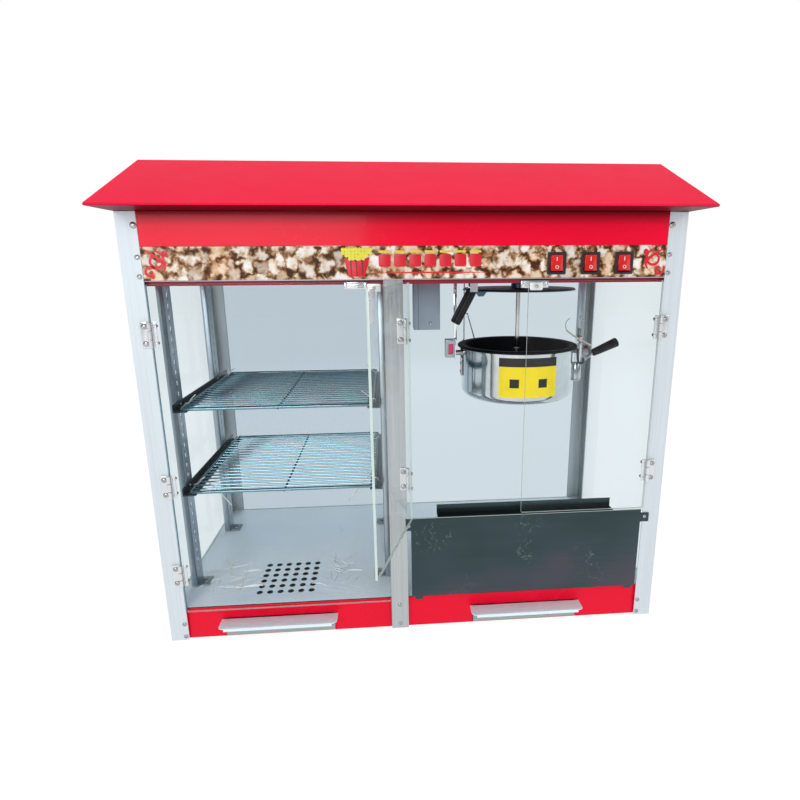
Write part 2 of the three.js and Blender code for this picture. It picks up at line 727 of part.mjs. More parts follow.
// ---------------------------------------------------------------- rocker switches
// Three housings clipped through the control panel, on one wiring bar behind it.
function switchHousings() {
  const { xs, z, width, height, rockerW, rockerH } = SWITCH;
  const parts = [];
  const pockets = [];
  for (const x of xs) {
    parts.push(
      box(x - width / 2, x + width / 2, FRONT - 2, FRONT - GAP, z - height / 2, z + height / 2),
      box(
        x - switchBodyW / 2,
        x + switchBodyW / 2,
        FRONT - 1,
        FRONT + 22,
        z - switchBodyH / 2,
        z + switchBodyH / 2,
      ),
    );
    pockets.push(
      box(
        x - rockerW / 2 - 0.6,
        x + rockerW / 2 + 0.6,
        FRONT - 5,
        FRONT + 8,
        z - rockerH / 2 - 1.2,
        z + rockerH / 2 + 1.2,
      ),
    );
  }
  parts.push(box(xs[0] - 5, xs[2] + 5, FRONT + 17, FRONT + 22, z - 6, z + 6));
  return cut(joined(parts), pockets);
}
add("switch_housings", switchHousings(), BLACK);

// A rocker, drawn about its pivot, tipped to its off side.
const rockerTilt = 7;
const rockerOutline = [
  [5, SWITCH.rockerH / 2],
  [-5.2, SWITCH.rockerH / 2],
  [-3.4, 0],
  [-5.2, -SWITCH.rockerH / 2],
  [5, -SWITCH.rockerH / 2],
];
SWITCH.xs.forEach((x, i) => {
  const pivot = new THREE.Group();
  pivot.position.set(x, FRONT + 0.5, SWITCH.z);
  pivot.rotation.x = THREE.MathUtils.degToRad(-rockerTilt);
  machine.add(pivot);
  const body = sweepX(rockerOutline, -SWITCH.rockerW / 2, SWITCH.rockerW / 2);
  add(`rocker_${i + 1}`, body, ROCKER_RED, pivot);
});

export default machine;
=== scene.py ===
import math
import random

import bmesh
import bpy
from mathutils import Matrix, Vector


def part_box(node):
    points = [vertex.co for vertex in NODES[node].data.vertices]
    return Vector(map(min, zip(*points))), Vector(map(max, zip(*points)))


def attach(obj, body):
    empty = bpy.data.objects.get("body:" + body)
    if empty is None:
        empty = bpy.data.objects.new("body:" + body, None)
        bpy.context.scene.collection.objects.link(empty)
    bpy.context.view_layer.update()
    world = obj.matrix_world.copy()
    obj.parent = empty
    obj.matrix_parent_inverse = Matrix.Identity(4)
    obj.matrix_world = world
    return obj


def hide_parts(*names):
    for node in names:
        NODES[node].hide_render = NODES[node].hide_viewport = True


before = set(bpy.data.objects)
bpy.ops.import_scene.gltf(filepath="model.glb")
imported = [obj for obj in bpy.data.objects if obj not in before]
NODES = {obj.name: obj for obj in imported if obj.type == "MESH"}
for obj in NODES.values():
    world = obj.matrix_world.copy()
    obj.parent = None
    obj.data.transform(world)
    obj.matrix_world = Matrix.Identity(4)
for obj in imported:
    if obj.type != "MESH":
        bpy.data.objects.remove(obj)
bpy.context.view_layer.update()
MM = 0.001


# ------------------------------------------------------------------ camera, light and floor
# The camera stands a little left of the middle, above the kettle, and looks slightly down.
CAMERA = {
    "place": (-0.0414, -1.0608, 0.635),
    "yaw": 4.574,
    "pitch": -13.774,
    "roll": -0.343,
    "lens": 24.647,
    "shift": (-0.0403, -0.0021),
}


def look_matrix(place, yaw, pitch, roll):
    """A camera matrix from its heading, its tilt and its roll, in degrees."""
    y, p, r = (math.radians(a) for a in (yaw, pitch, roll))
    forward = Vector((math.sin(y) * math.cos(p), math.cos(y) * math.cos(p), math.sin(p)))
    side = Vector((math.cos(y), -math.sin(y), 0.0))
    up = side.cross(forward)
    x_axis = side * math.cos(r) + up * math.sin(r)
    y_axis = up * math.cos(r) - side * math.sin(r)
    turn = Matrix((x_axis, y_axis, -forward)).transposed().to_4x4()
    return Matrix.Translation(place) @ turn


def make_camera():
    data = bpy.data.cameras.new("camera")
    data.sensor_width = 36
    data.lens = CAMERA["lens"]
    data.shift_x, data.shift_y = CAMERA["shift"]
    camera = bpy.data.objects.new("camera", data)
    bpy.context.scene.collection.objects.link(camera)
    camera.matrix_world = look_matrix(
        CAMERA["place"], CAMERA["yaw"], CAMERA["pitch"], CAMERA["roll"]
    )
    bpy.context.scene.camera = camera


def area_light(name, place, target, size, power, shines=True):
    data = bpy.data.lights.new(name, "AREA")
    data.shape = "RECTANGLE"
    data.size, data.size_y = size
    data.energy = power
    light = bpy.data.objects.new(name, data)
    light.location = place
    light.rotation_euler = (Vector(target) - Vector(place)).to_track_quat("-Z", "Y").to_euler()
    light.visible_camera = False
    light.visible_glossy = shines
    bpy.context.scene.collection.objects.link(light)


def make_world():
    world = bpy.data.worlds.new("studio")
    bpy.context.scene.world = world
    world.use_nodes = True
    nodes, links = world.node_tree.nodes, world.node_tree.links
    lit, seen = nodes["Background"], nodes.new("ShaderNodeBackground")
    seen.inputs["Color"].default_value = (1, 1, 1, 1)
    coords = nodes.new("ShaderNodeTexCoord")
    split = nodes.new("ShaderNodeSeparateXYZ")
    ramp = nodes.new("ShaderNodeValToRGB")
    links.new(coords.outputs["Generated"], split.inputs[0])
    links.new(split.outputs["Z"], ramp.inputs[0])
    links.new(ramp.outputs[0], lit.inputs["Color"])
    ramp.color_ramp.elements[0].position = 0.0
    ramp.color_ramp.elements[0].color = (0.9, 0.91, 0.92, 1)
    ramp.color_ramp.elements[1].position = 1.0
    ramp.color_ramp.elements[1].color = (1.0, 1.0, 1.0, 1)
    lit.inputs["Strength"].default_value = 0.5
    rays, mix = nodes.new("ShaderNodeLightPath"), nodes.new("ShaderNodeMixShader")
    links.new(rays.outputs["Is Camera Ray"], mix.inputs[0])
    links.new(lit.outputs[0], mix.inputs[1])
    links.new(seen.outputs[0], mix.inputs[2])
    links.new(mix.outputs[0], nodes["World Output"].inputs["Surface"])


def make_floor():
    mesh = bpy.data.meshes.new("studio_floor")
    reach = 6.0
    mesh.from_pydata(
        [(-reach, -reach, 0), (reach, -reach, 0), (reach, reach, 0), (-reach, reach, 0)],
        [],
        [(0, 1, 2, 3)],
    )
    floor = bpy.data.objects.new("studio_floor", mesh)
    floor.location.z = -0.0005
    bpy.context.scene.collection.objects.link(floor)
    white = plain("floor_white", (0.06, 0.06, 0.06), 0.7)
    glow = white.node_tree.nodes["Principled BSDF"]
    glow.inputs["Emission Color"].default_value = (1, 1, 1, 1)
    glow.inputs["Specular IOR Level"].default_value = 0
    glow.inputs["Emission Strength"].default_value = 0.97
    floor.data.materials.append(white)


# ------------------------------------------------------------------ node material helpers
def new_material(name):
    material = bpy.data.materials.new(name)
    material.use_nodes = True
    tree = material.node_tree
    return material, tree, tree.nodes["Principled BSDF"]


def node(tree, kind, **values):
    made = tree.nodes.new("ShaderNode" + kind)
    for key, value in values.items():
        if key in made.inputs:
            made.inputs[key].default_value = value
        else:
            setattr(made, key, value)
    return made


def object_coords(tree, scale=(1, 1, 1), rotation=(0, 0, 0)):
    coords = node(tree, "TexCoord")
    mapping = node(tree, "Mapping")
    mapping.inputs["Scale"].default_value = scale
    mapping.inputs["Rotation"].default_value = rotation
    tree.links.new(coords.outputs["Object"], mapping.inputs["Vector"])
    return mapping.outputs["Vector"]


def noise(tree, vector, scale, detail=3.0, roughness=0.5, distortion=0.0):
    made = node(tree, "TexNoise")
    made.inputs["Scale"].default_value = scale
    made.inputs["Detail"].default_value = detail
    made.inputs["Roughness"].default_value = roughness
    made.inputs["Distortion"].default_value = distortion
    tree.links.new(vector, made.inputs["Vector"])
    return made.outputs["Fac"]


def ramp(tree, factor, stops, smooth=False):
    made = node(tree, "ValToRGB")
    elements = made.color_ramp.elements
    made.color_ramp.interpolation = "EASE" if smooth else "LINEAR"
    while len(elements) < len(stops):
        elements.new(0.5)
    for element, (place, color) in zip(elements, stops):
        element.position = place
        element.color = (*color, 1) if len(color) == 3 else color
    tree.links.new(factor, made.inputs["Fac"])
    return made.outputs["Color"]


def grey(value):
    return (value, value, value)


def ranged(tree, factor, low, high, from_low=0.0, from_high=1.0):
    made = node(tree, "MapRange")
    made.inputs["From Min"].default_value = from_low
    made.inputs["From Max"].default_value = from_high
    made.inputs["To Min"].default_value = low
    made.inputs["To Max"].default_value = high
    tree.links.new(factor, made.inputs["Value"])
    return made.outputs["Result"]


def mixed(tree, factor, a, b, mode="MIX"):
    """A colour mix. factor, a and b are sockets, colours or numbers."""
    made = node(tree, "Mix", data_type="RGBA", blend_type=mode)
    for socket, value in ((made.inputs[0], factor), (made.inputs[6], a), (made.inputs[7], b)):
        if isinstance(value, bpy.types.NodeSocket):
            tree.links.new(value, socket)
        elif isinstance(value, (tuple, list)):
            socket.default_value = (*value, 1) if len(value) == 3 else value
        else:
            socket.default_value = value
    return made.outputs[2]


def math_node(tree, operation, a, b=0.0):
    made = node(tree, "Math", operation=operation)
    for socket, value in zip(made.inputs, (a, b)):
        if isinstance(value, bpy.types.NodeSocket):
            tree.links.new(value, socket)
        else:
            socket.default_value = value
    return made.outputs[0]


def bump(tree, shader, height, strength, distance, normal=None):
    made = node(tree, "Bump")
    made.inputs["Strength"].default_value = strength
    made.inputs["Distance"].default_value = distance
    tree.links.new(height, made.inputs["Height"])
    if normal is not None:
        tree.links.new(normal, made.inputs["Normal"])
    if shader is not None:
        tree.links.new(made.outputs["Normal"], shader.inputs["Normal"])
    return made.outputs["Normal"]


def plain(name, color, roughness, metallic=0.0, grain=0.02):
    """A finish with a faint mottle in colour and gloss."""
    material, tree, shader = new_material(name)
    mottle = noise(tree, object_coords(tree), 35, 4)
    low = tuple(max(0.0, c * (1 - grain * 3)) for c in color)
    high = tuple(min(1.0, c * (1 + grain * 2)) for c in color)
    tree.links.new(ramp(tree, mottle, [(0.3, low), (0.7, high)]), shader.inputs["Base Color"])
    tree.links.new(
        ranged(tree, mottle, roughness * 0.88, roughness * 1.12), shader.inputs["Roughness"]
    )
    shader.inputs["Metallic"].default_value = metallic
    return material


# ------------------------------------------------------------------ finishes
def gloss_paint(name, color, dark, roughness=0.22, coat=0.35, specular=0.3, shade=None):
    """Powder coat: a clear gloss over colour that varies a little, with a fine orange peel.

    shade is a pair of heights over which a painted shadow darkens the paint, strongest at the upper one.
    """
    material, tree, shader = new_material(name)
    coords = object_coords(tree)
    cloud = noise(tree, coords, 6, 3)
    base = ramp(tree, cloud, [(0.3, dark), (0.7, color)])
    if shade:
        split = node(tree, "SeparateXYZ")
        tree.links.new(coords, split.inputs[0])
        # painted shadow: towards the upper height the paint is mixed into a near black red
        depth = ranged(tree, split.outputs["Z"], 0, 1, shade[0] * MM, shade[1] * MM)
        base = mixed(tree, math_node(tree, "MULTIPLY", depth, 0.85), base, (0.1, 0, 0.004))
    tree.links.new(base, shader.inputs["Base Color"])
    smudge = noise(tree, coords, 22, 5, 0.6)
    tree.links.new(
        ranged(tree, smudge, roughness * 0.8, roughness * 1.3), shader.inputs["Roughness"]
    )
    shader.inputs["Coat Weight"].default_value = coat
    shader.inputs["Coat Roughness"].default_value = 0.08
    shader.inputs["Specular IOR Level"].default_value = specular
    bump(tree, shader, noise(tree, coords, 420, 2), 0.12, 0.00012)
    return material


def brushed_metal(name, color, roughness, grain_scale, contrast=0.1, metallic=0.9, smudge=0.0):
    """Brushed sheet: streaks along one direction. grain_scale is small along the streaks."""
    material, tree, shader = new_material(name)
    streaks = noise(tree, object_coords(tree, grain_scale), 1, 4, 0.65)
    wide = noise(tree, object_coords(tree, tuple(s * 0.2 for s in grain_scale)), 1, 2)
    low = tuple(c * (1 - contrast) for c in color)
    high = tuple(min(1.0, c * (1 + contrast)) for c in color)
    fine = ramp(tree, streaks, [(0.3, low), (0.7, high)])
    broad = ramp(tree, wide, [(0.3, grey(1 - contrast)), (0.7, grey(1))])
    tree.links.new(mixed(tree, 1.0, fine, broad, "MULTIPLY"), shader.inputs["Base Color"])
    rough = ranged(tree, streaks, roughness * 0.75, roughness * 1.3)
    if smudge:
        prints = noise(tree, object_coords(tree), 14, 6, 0.65)
        rough = math_node(tree, "ADD", rough, ranged(tree, prints, 0, smudge, 0.45, 0.75))
    tree.links.new(rough, shader.inputs["Roughness"])
    shader.inputs["Metallic"].default_value = metallic
    bump(tree, shader, streaks, 0.12, 0.00008)
    return material


def polished_metal(name, color, roughness=0.07):
    material, tree, shader = new_material(name)
    coords = object_coords(tree)
    wipe = noise(tree, coords, 30, 5, 0.6)
    low = tuple(c * 0.94 for c in color)
    tree.links.new(ramp(tree, wipe, [(0.35, low), (0.65, color)]), shader.inputs["Base Color"])
    tree.links.new(ranged(tree, wipe, roughness * 0.6, roughness * 1.8), shader.inputs["Roughness"])
    shader.inputs["Metallic"].default_value = 1.0
    bump(tree, shader, noise(tree, coords, 9, 2), 0.08, 0.0006)
    return material


def clear_pane(name, tint, veil, left_tint=None, gloss=0.5, clear_beyond=None):
    """A clear sheet: mostly seen through, with a weak mirror that grows towards grazing angles.

    left_tint is the tint on the warming side, if it differs. gloss is the mirror at grazing angles.
    clear_beyond is an axis and a distance from the middle, beyond which a post backs the pane.
    """
    material, tree, shader = new_material(name)
    coords = object_coords(tree)
    through = node(tree, "BsdfTransparent")
    haze = noise(tree, coords, 5, 5, 0.6)
    tinted = ramp(tree, haze, [(0.3, tint), (0.75, tuple(min(1, c * 1.01) for c in tint))])
    split = node(tree, "SeparateXYZ")
    tree.links.new(coords, split.inputs[0])
    if left_tint:
        is_left = math_node(tree, "LESS_THAN", split.outputs["X"], CENTER_X * MM)
        tinted = mixed(tree, is_left, tinted, left_tint)
    if clear_beyond:
        off = math_node(tree, "ABSOLUTE", split.outputs[clear_beyond[0]])
        at_post = math_node(tree, "GREATER_THAN", off, clear_beyond[1] * MM)
        tinted = mixed(tree, at_post, tinted, (0.985, 0.99, 0.99))
    tree.links.new(tinted, through.inputs["Color"])
    mirror = node(tree, "BsdfGlossy")
    mirror.inputs["Roughness"].default_value = 0.02
    facing_away = node(tree, "LayerWeight")
    facing_away.inputs["Blend"].default_value = 0.5
    grazing = math_node(tree, "POWER", facing_away.outputs["Facing"], 5)
    glass = node(tree, "MixShader")
    tree.links.new(ranged(tree, grazing, 0.002, gloss), glass.inputs[0])
    tree.links.new(through.outputs[0], glass.inputs[1])
    tree.links.new(mirror.outputs[0], glass.inputs[2])
    shader.inputs["Base Color"].default_value = (0.92, 0.95, 0.96, 1)
    shader.inputs["Roughness"].default_value = 0.3
    film = node(tree, "MixShader")
    smears = noise(tree, object_coords(tree, (6, 6, 1.5)), 2, 6, 0.7)
    tree.links.new(ranged(tree, smears, veil * 0.5, veil * 1.6, 0.35, 0.7), film.inputs[0])
    tree.links.new(glass.outputs[0], film.inputs[1])
    tree.links.new(shader.outputs[0], film.inputs[2])
    tree.links.new(film.outputs[0], tree.nodes["Material Output"].inputs["Surface"])
    return material


def protective_film(name, color, dark, wrinkle, roughness=0.3):
    """Steel under a pale protective film that has lifted in long wrinkles."""
    material, tree, shader = new_material(name)
    coords = object_coords(tree, (1, 1.6, 1.6), (0, 0, 0.5))
    warp = noise(tree, coords, 5, 3)
    shifted = node(tree, "VectorMath", operation="ADD")
    tree.links.new(coords, shifted.inputs[0])
    push = node(tree, "VectorMath", operation="SCALE")
    tree.links.new(warp, push.inputs[0])
    push.inputs["Scale"].default_value = 0.06
    tree.links.new(push.outputs[0], shifted.inputs[1])
    folds = noise(tree, shifted.outputs[0], 26, 3, 0.45, 1.2)
    ridges = math_node(tree, "ABSOLUTE", math_node(tree, "SUBTRACT", folds, 0.5))
    height = ranged(tree, ridges, 1, 0, 0, 0.06)
    cloud = noise(tree, coords, 3, 3)
    base = ramp(tree, cloud, [(0.3, dark), (0.72, color)])
    light = mixed(tree, ranged(tree, ridges, 0.6, 0, 0, 0.02), base, (0.97, 0.99, 1.0))
    tree.links.new(light, shader.inputs["Base Color"])
    tree.links.new(ranged(tree, folds, roughness * 0.7, roughness * 1.5), shader.inputs["Roughness"])
    bump(tree, shader, height, wrinkle, 0.0008)
    return material


PETALS = 42  # pieces of popcorn in the print, per metre


def popcorn_print(name):
    """A printed band of heaped popcorn, as soft lobes in cells, under a semi gloss film."""
    material, tree, shader = new_material(name)
    coords = object_coords(tree)
    wobble = node(tree, "TexNoise")
    wobble.inputs["Scale"].default_value = 95
    wobble.inputs["Detail"].default_value = 3
    tree.links.new(coords, wobble.inputs["Vector"])
    centred = node(tree, "VectorMath", operation="SUBTRACT")
    tree.links.new(wobble.outputs["Color"], centred.inputs[0])
    centred.inputs[1].default_value = (0.5, 0.5, 0.5)
    scaled = node(tree, "VectorMath", operation="SCALE")
    tree.links.new(centred.outputs[0], scaled.inputs[0])
    scaled.inputs["Scale"].default_value = 0.021
    moved = node(tree, "VectorMath", operation="ADD")
    tree.links.new(coords, moved.inputs[0])
    tree.links.new(scaled.outputs[0], moved.inputs[1])

    def cells(feature, scale):
        made = node(tree, "TexVoronoi", feature=feature)
        made.inputs["Scale"].default_value = scale
        tree.links.new(moved.outputs[0], made.inputs["Vector"])
        return made

    pieces, borders = cells("F1", PETALS), cells("DISTANCE_TO_EDGE", PETALS)
    lobes = cells("SMOOTH_F1", PETALS * 2.1)
    gap = ranged(tree, borders.outputs["Distance"], 0, 0.42, 0.0, 0.3)
    swell = ranged(tree, lobes.outputs["Distance"], 0.62, 0, 0.0, 0.62)
    corn = ramp(
        tree,
        math_node(tree, "ADD", gap, swell),
        [
            (0.12, (0.07, 0.03, 0.015)),
            (0.28, (0.36, 0.19, 0.09)),
            (0.42, (0.7, 0.55, 0.4)),
            (0.58, (0.88, 0.82, 0.74)),
            (0.85, (0.96, 0.94, 0.9)),
        ],
    )
    tint = node(tree, "SeparateColor")
    tree.links.new(pieces.outputs["Color"], tint.inputs[0])
    warmth = ranged(tree, tint.outputs[0], 0, 0.6, 0.55, 0.98)
    warm = mixed(tree, warmth, corn, (0.9, 0.62, 0.36), "MULTIPLY")
    depth = ranged(tree, tint.outputs[1], 0, 0.75, 0.55, 1.0)
    shade = mixed(tree, depth, warm, (0.55, 0.48, 0.44), "MULTIPLY")
    tree.links.new(shade, shader.inputs["Base Color"])
    shader.inputs["Roughness"].default_value = 0.35
    shader.inputs["Specular IOR Level"].default_value = 0.12
    return material


def grained_plastic(name, color, roughness=0.5, specular=0.4):
    material, tree, shader = new_material(name)
    coords = object_coords(tree)
    speck = noise(tree, coords, 900, 2)
    worn = noise(tree, coords, 40, 4)
    light = tuple(c * 1.6 + 0.003 for c in color)
    shader.inputs["Specular IOR Level"].default_value = specular
    tree.links.new(ramp(tree, worn, [(0.35, color), (0.8, light)]), shader.inputs["Base Color"])
    tree.links.new(ranged(tree, worn, roughness * 0.8, roughness * 1.2), shader.inputs["Roughness"])
    bump(tree, shader, speck, 0.25, 0.00012)
    return material


def make_finishes():
    return {
        "roof_red": gloss_paint("roof_red", (1, 0.008, 0.06), (0.97, 0.006, 0.05), 0.35, 0.02, 0.05),
        # a near black copy of the roof red, as painted shade on the soffits
        "soffit_red_painted_shade": gloss_paint("soffit_red_painted_shade", (0.16, 0.0, 0.008), (0.1, 0.0, 0.004), 0.4, 0, 0.1),
        # the fascia's top, from 692 to 710 mm, is darkened as a painted shadow under the eave
        "fascia_red": gloss_paint(
            "fascia_red", (0.95, 0.0, 0.035), (0.9, 0.0, 0.03), 0.25, 0.12, 0.12, (692, 710)
        ),
        "hinge": polished_metal("hinge_nickel", (0.74, 0.76, 0.78), 0.18),
        "strike": brushed_metal("strike_plate", (0.85, 0.87, 0.88), 0.3, (5, 300, 300), 0.04, 0.5),
        "lid": brushed_metal("lid_steel", (0.07, 0.12, 0.18), 0.3, (40, 40, 40), 0.1, 0.8),
        "shaft": polished_metal("shaft_steel", (0.7, 0.66, 0.64), 0.1),
        "dark_metal": polished_metal("dark_metal", (0.07, 0.08, 0.09), 0.3),
        "insert": plain("pink_insert", (0.85, 0.06, 0.22), 0.4),
        "beige": plain("beige_nylon", (0.62, 0.58, 0.48), 0.5),
        "label_black": plain("label_black", (0.004, 0.007, 0.009), 0.5),
        "bezel": grained_plastic("bezel_black", (0.01, 0.014, 0.016), 0.35),
        "kernel": plain("kernel_yellow", (0.82, 0.78, 0.06), 0.4),
        "ornament_line": plain("ornament_line", (0.2, 0.0, 0.01), 0.4),
        "film_crease": plain("film_crease", (0.93, 0.97, 1.0), 0.25),
        # near black, as painted shade in and under the vent holes
        "vent_painted_shade": plain("vent_painted_shade", (0.012, 0.012, 0.014), 0.6),
        "tie_white": plain("tie_white", (0.85, 0.86, 0.85), 0.45),
        "hem": polished_metal("hem_steel", (0.45, 0.52, 0.52), 0.15),
        "red": gloss_paint("red_paint", (0.86, 0.0, 0.03), (0.8, 0.0, 0.024), 0.25, 0.12, 0.12),
        # a darker copy of the red paint, as painted shade on the ceiling's underside
        "red_painted_shade": gloss_paint("dark_red_paint", (0.33, 0.004, 0.03), (0.25, 0.002, 0.02), 0.35),
        "print": popcorn_print("popcorn_print"),
        "ornament": plain("ornament_red", (0.72, 0.0, 0.02), 0.35),
        "ornament_gold": plain("ornament_gold", (0.86, 0.6, 0.04), 0.35),
        "aluminium": brushed_metal("aluminium", (0.68, 0.75, 0.8), 0.5, (500, 500, 4), 0.06, 0.35),
        "aluminium_x": brushed_metal("aluminium_trim", (0.42, 0.45, 0.48), 0.4, (4, 500, 500), 0.08),
        "steel_post": brushed_metal("post_steel", (0.5, 0.53, 0.55), 0.16, (600, 600, 3), 0.12),
        "steel": brushed_metal("brushed_steel", (0.55, 0.57, 0.58), 0.25, (5, 400, 400), 0.12),
        "steel_z": brushed_metal("upright_steel", (0.42, 0.48, 0.53), 0.3, (300, 300, 6), 0.12),
        "rail": brushed_metal("rail_steel", (0.05, 0.11, 0.14), 0.3, (300, 5, 300), 0.12),
        # dark teal, as painted shade in the gap by the left door
        "teal_gap_shade": plain("teal_gap_shade", (0.08, 0.22, 0.3), 0.3),
        "mirror_steel": baffle_steel("baffle_steel"),
        "chrome": polished_metal("chrome", (0.8, 0.82, 0.84)),
        "kettle": kettle_metal("kettle_metal"),
        "wire": polished_metal("wire_chrome", (0.2, 0.34, 0.4), 0.12),
        "stay": polished_metal("stay_steel", (0.06, 0.09, 0.11), 0.3),
        "screw": polished_metal("screw_steel", (0.46, 0.47, 0.48), 0.2),
        "acrylic": clear_pane("clear_acrylic", (0.985, 0.99, 0.99), 0.004, None, 0.32),
        "acrylic_edge": plain("acrylic_edge", (0.6, 0.72, 0.68), 0.15),
        "glass": clear_pane("clear_glass", (0.89, 0.93, 0.945), 0.005, None, 0.5, ("Y", 170)),
        "rear_glass": clear_pane(
            "rear_glass", (0.78, 0.83, 0.86), 0.005, (0.7, 0.76, 0.8), 0.5, ("X", 400)
        ),
        "film": protective_film("floor_film", (0.86, 0.96, 1.0), (0.76, 0.88, 0.97), 0.5),
        "film_white": protective_film("drawer_film", (0.84, 0.92, 1.0), (0.76, 0.86, 0.96), 0.35),
        "drawer_face": brushed_metal("drawer_face", (0.3, 0.4, 0.39), 0.28, (5, 400, 400), 0.1, 0.75),
        "non_stick": grained_plastic("non_stick", (0.001, 0.002, 0.003), 0.5, 0.08),
        "black": grained_plastic("black_plastic", (0.003, 0.005, 0.007), 0.34, 0.3),
        "grey_blue": plain("grey_blue_paint", (0.33, 0.42, 0.5), 0.45, 0.2),
        "rocker": gloss_paint("rocker_red", (0.8, 0.01, 0.008), (0.7, 0.006, 0.006), 0.2),
        "white": plain("white_mark", (0.85, 0.85, 0.83), 0.4),
        "yellow": plain("plain_label_yellow", (0.95, 0.76, 0.0), 0.4),
        "lamp": plain("lamp_glass", (0.95, 0.88, 0.72), 0.15),
    }


def baffle_steel(name):
    """Mirror steel, brushed, with hair scratches; its dark, tinted base colour is a painted reflection of dark
    surroundings.
    """
    material, tree, shader = new_material(name)
    coords = object_coords(tree)
    streaks = noise(tree, object_coords(tree, (4, 450, 450)), 1, 4, 0.6)
    cloud = noise(tree, object_coords(tree, (3.5, 3.5, 6)), 1, 3, 0.5)
    # painted reflection: a dark blue-green to dull purple base colour for what the mirror would show
    base = ramp(
        tree,
        cloud,
        [(0.3, (0.03, 0.055, 0.06)), (0.55, (0.05, 0.075, 0.085)), (0.8, (0.11, 0.085, 0.115))],
    )
    fine = ramp(tree, streaks, [(0.3, grey(0.85)), (0.7, grey(1.0))])
    scratches = node(tree, "TexWave", wave_type="BANDS")
    scratches.inputs["Scale"].default_value = 16
    scratches.inputs["Distortion"].default_value = 14
    scratches.inputs["Detail"].default_value = 2
    scratches.inputs["Detail Scale"].default_value = 3
    tree.links.new(coords, scratches.inputs["Vector"])
    patch = noise(tree, coords, 9, 2)
    hair = math_node(
        tree,
        "MULTIPLY",
        ranged(tree, scratches.outputs["Fac"], 0, 1, 0.993, 1.0),
        ranged(tree, patch, 0, 1, 0.56, 0.62),
    )
    brushed = mixed(tree, 1.0, base, fine, "MULTIPLY")
    tree.links.new(
        mixed(tree, math_node(tree, "MULTIPLY", hair, 0.3), brushed, (0.5, 0.52, 0.52)),
        shader.inputs["Base Color"],
    )
    tree.links.new(ranged(tree, streaks, 0.16, 0.3), shader.inputs["Roughness"])
    shader.inputs["Metallic"].default_value = 0.85
    bump(tree, shader, streaks, 0.1, 0.00006)
    return material


def kettle_metal(name):
    """Polished spun steel: faint rings round the kettle and soft smudges."""
    material, tree, shader = new_material(name)
    coords = object_coords(tree)
    rings = noise(tree, object_coords(tree, (2, 2, 700)), 1, 3)
    wipe = noise(tree, coords, 16, 5, 0.6)
    tree.links.new(
        ramp(tree, wipe, [(0.3, (0.5, 0.54, 0.56)), (0.7, (0.7, 0.73, 0.75))]),
        shader.inputs["Base Color"],
    )
    tree.links.new(ranged(tree, rings, 0.06, 0.16), shader.inputs["Roughness"])
    shader.inputs["Metallic"].default_value = 1.0
    bump(tree, shader, rings, 0.1, 0.00005)
    return material


# ------------------------------------------------------------------ mesh building, in millimetres
SEED = random.Random(11)
AXES = {
    "X": Matrix(((0, 0, 1, 0), (1, 0, 0, 0), (0, 1, 0, 0), (0, 0, 0, 1))),
    "Y": Matrix(((1, 0, 0, 0), (0, 0, 1, 0), (0, 1, 0, 0), (0, 0, 0, 1))),
    "Z": Matrix.Identity(4),
}


class Piece:
    """One visible piece, built shape by shape in millimetres, each shape with its own finish."""

    def __init__(self, name, body, slot, *replaced, place=None):
        self.name = name
        self.body = body
        self.slot = slot
        self.replaced = replaced
        self.place = place or Matrix.Identity(4)
        self.mesh = bmesh.new()
        self.finishes = []

    def index(self, finish):
        if finish not in self.finishes:
            self.finishes.append(finish)
        return self.finishes.index(finish)

    def take(self, shape, finish, matrix=None, rim=None, across=1):
        """Add a shape. rim is the finish of the faces that don't look along the axis across."""
        bmesh.ops.recalc_face_normals(shape, faces=shape.faces)
        for face in shape.faces:
            on_rim = rim is not None and abs(face.normal[across]) < 0.8
            face.material_index = self.index(rim if on_rim else finish)
            face.smooth = True
        if matrix is not None:
            shape.transform(matrix)
            bmesh.ops.recalc_face_normals(shape, faces=shape.faces)
        scratch = bpy.data.meshes.new("scratch")
        shape.to_mesh(scratch)
        shape.free()
        self.mesh.from_mesh(scratch)
        bpy.data.meshes.remove(scratch)
        return self

    def done(self, sharp=35):
        self.mesh.transform(Matrix.Scale(MM, 4) @ self.place)
        mesh = bpy.data.meshes.new(self.name)
        self.mesh.to_mesh(mesh)
        self.mesh.free()
        mesh.set_sharp_from_angle(angle=math.radians(sharp))
        piece = bpy.data.objects.new(self.name, mesh)
        bpy.context.scene.collection.objects.link(piece)
        for finish in self.finishes:
            mesh.materials.append(FINISHES[finish])
        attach(piece, self.body)
        if self.replaced:
            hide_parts(*self.replaced)
        return piece


def limits(name):
    """The lowest and highest corner of a CAD node, in millimetres."""
    return [[value / MM for value in corner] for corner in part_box(name)]


def rounded(points, radius, steps=4, closed=True):
    """A polyline with its corners rounded, in two or three dimensions."""
    points = [Vector(p) for p in points]
    smooth = []
    for i, corner in enumerate(points):
        if not closed and i in (0, len(points) - 1):
            smooth.append(corner)
            continue
        before = points[i - 1] - corner
        after = points[(i + 1) % len(points)] - corner
        start = corner + before.normalized() * min(radius, before.length * 0.45)
        end = corner + after.normalized() * min(radius, after.length * 0.45)
        for step in range(steps + 1):
            t = step / steps
            smooth.append((1 - t) ** 2 * start + 2 * t * (1 - t) * corner + t * t * end)
    return smooth


def rectangle(u0, v0, u1, v1, radius=0.0, steps=4):
    corners = [(u0, v0), (u1, v0), (u1, v1), (u0, v1)]
    return rounded(corners, radius, steps) if radius else [Vector(c) for c in corners]


def circle(u, v, radius, steps=20):
    turns = [2 * math.pi * i / steps for i in range(steps)]
    return [Vector((u + radius * math.cos(a), v + radius * math.sin(a))) for a in turns]


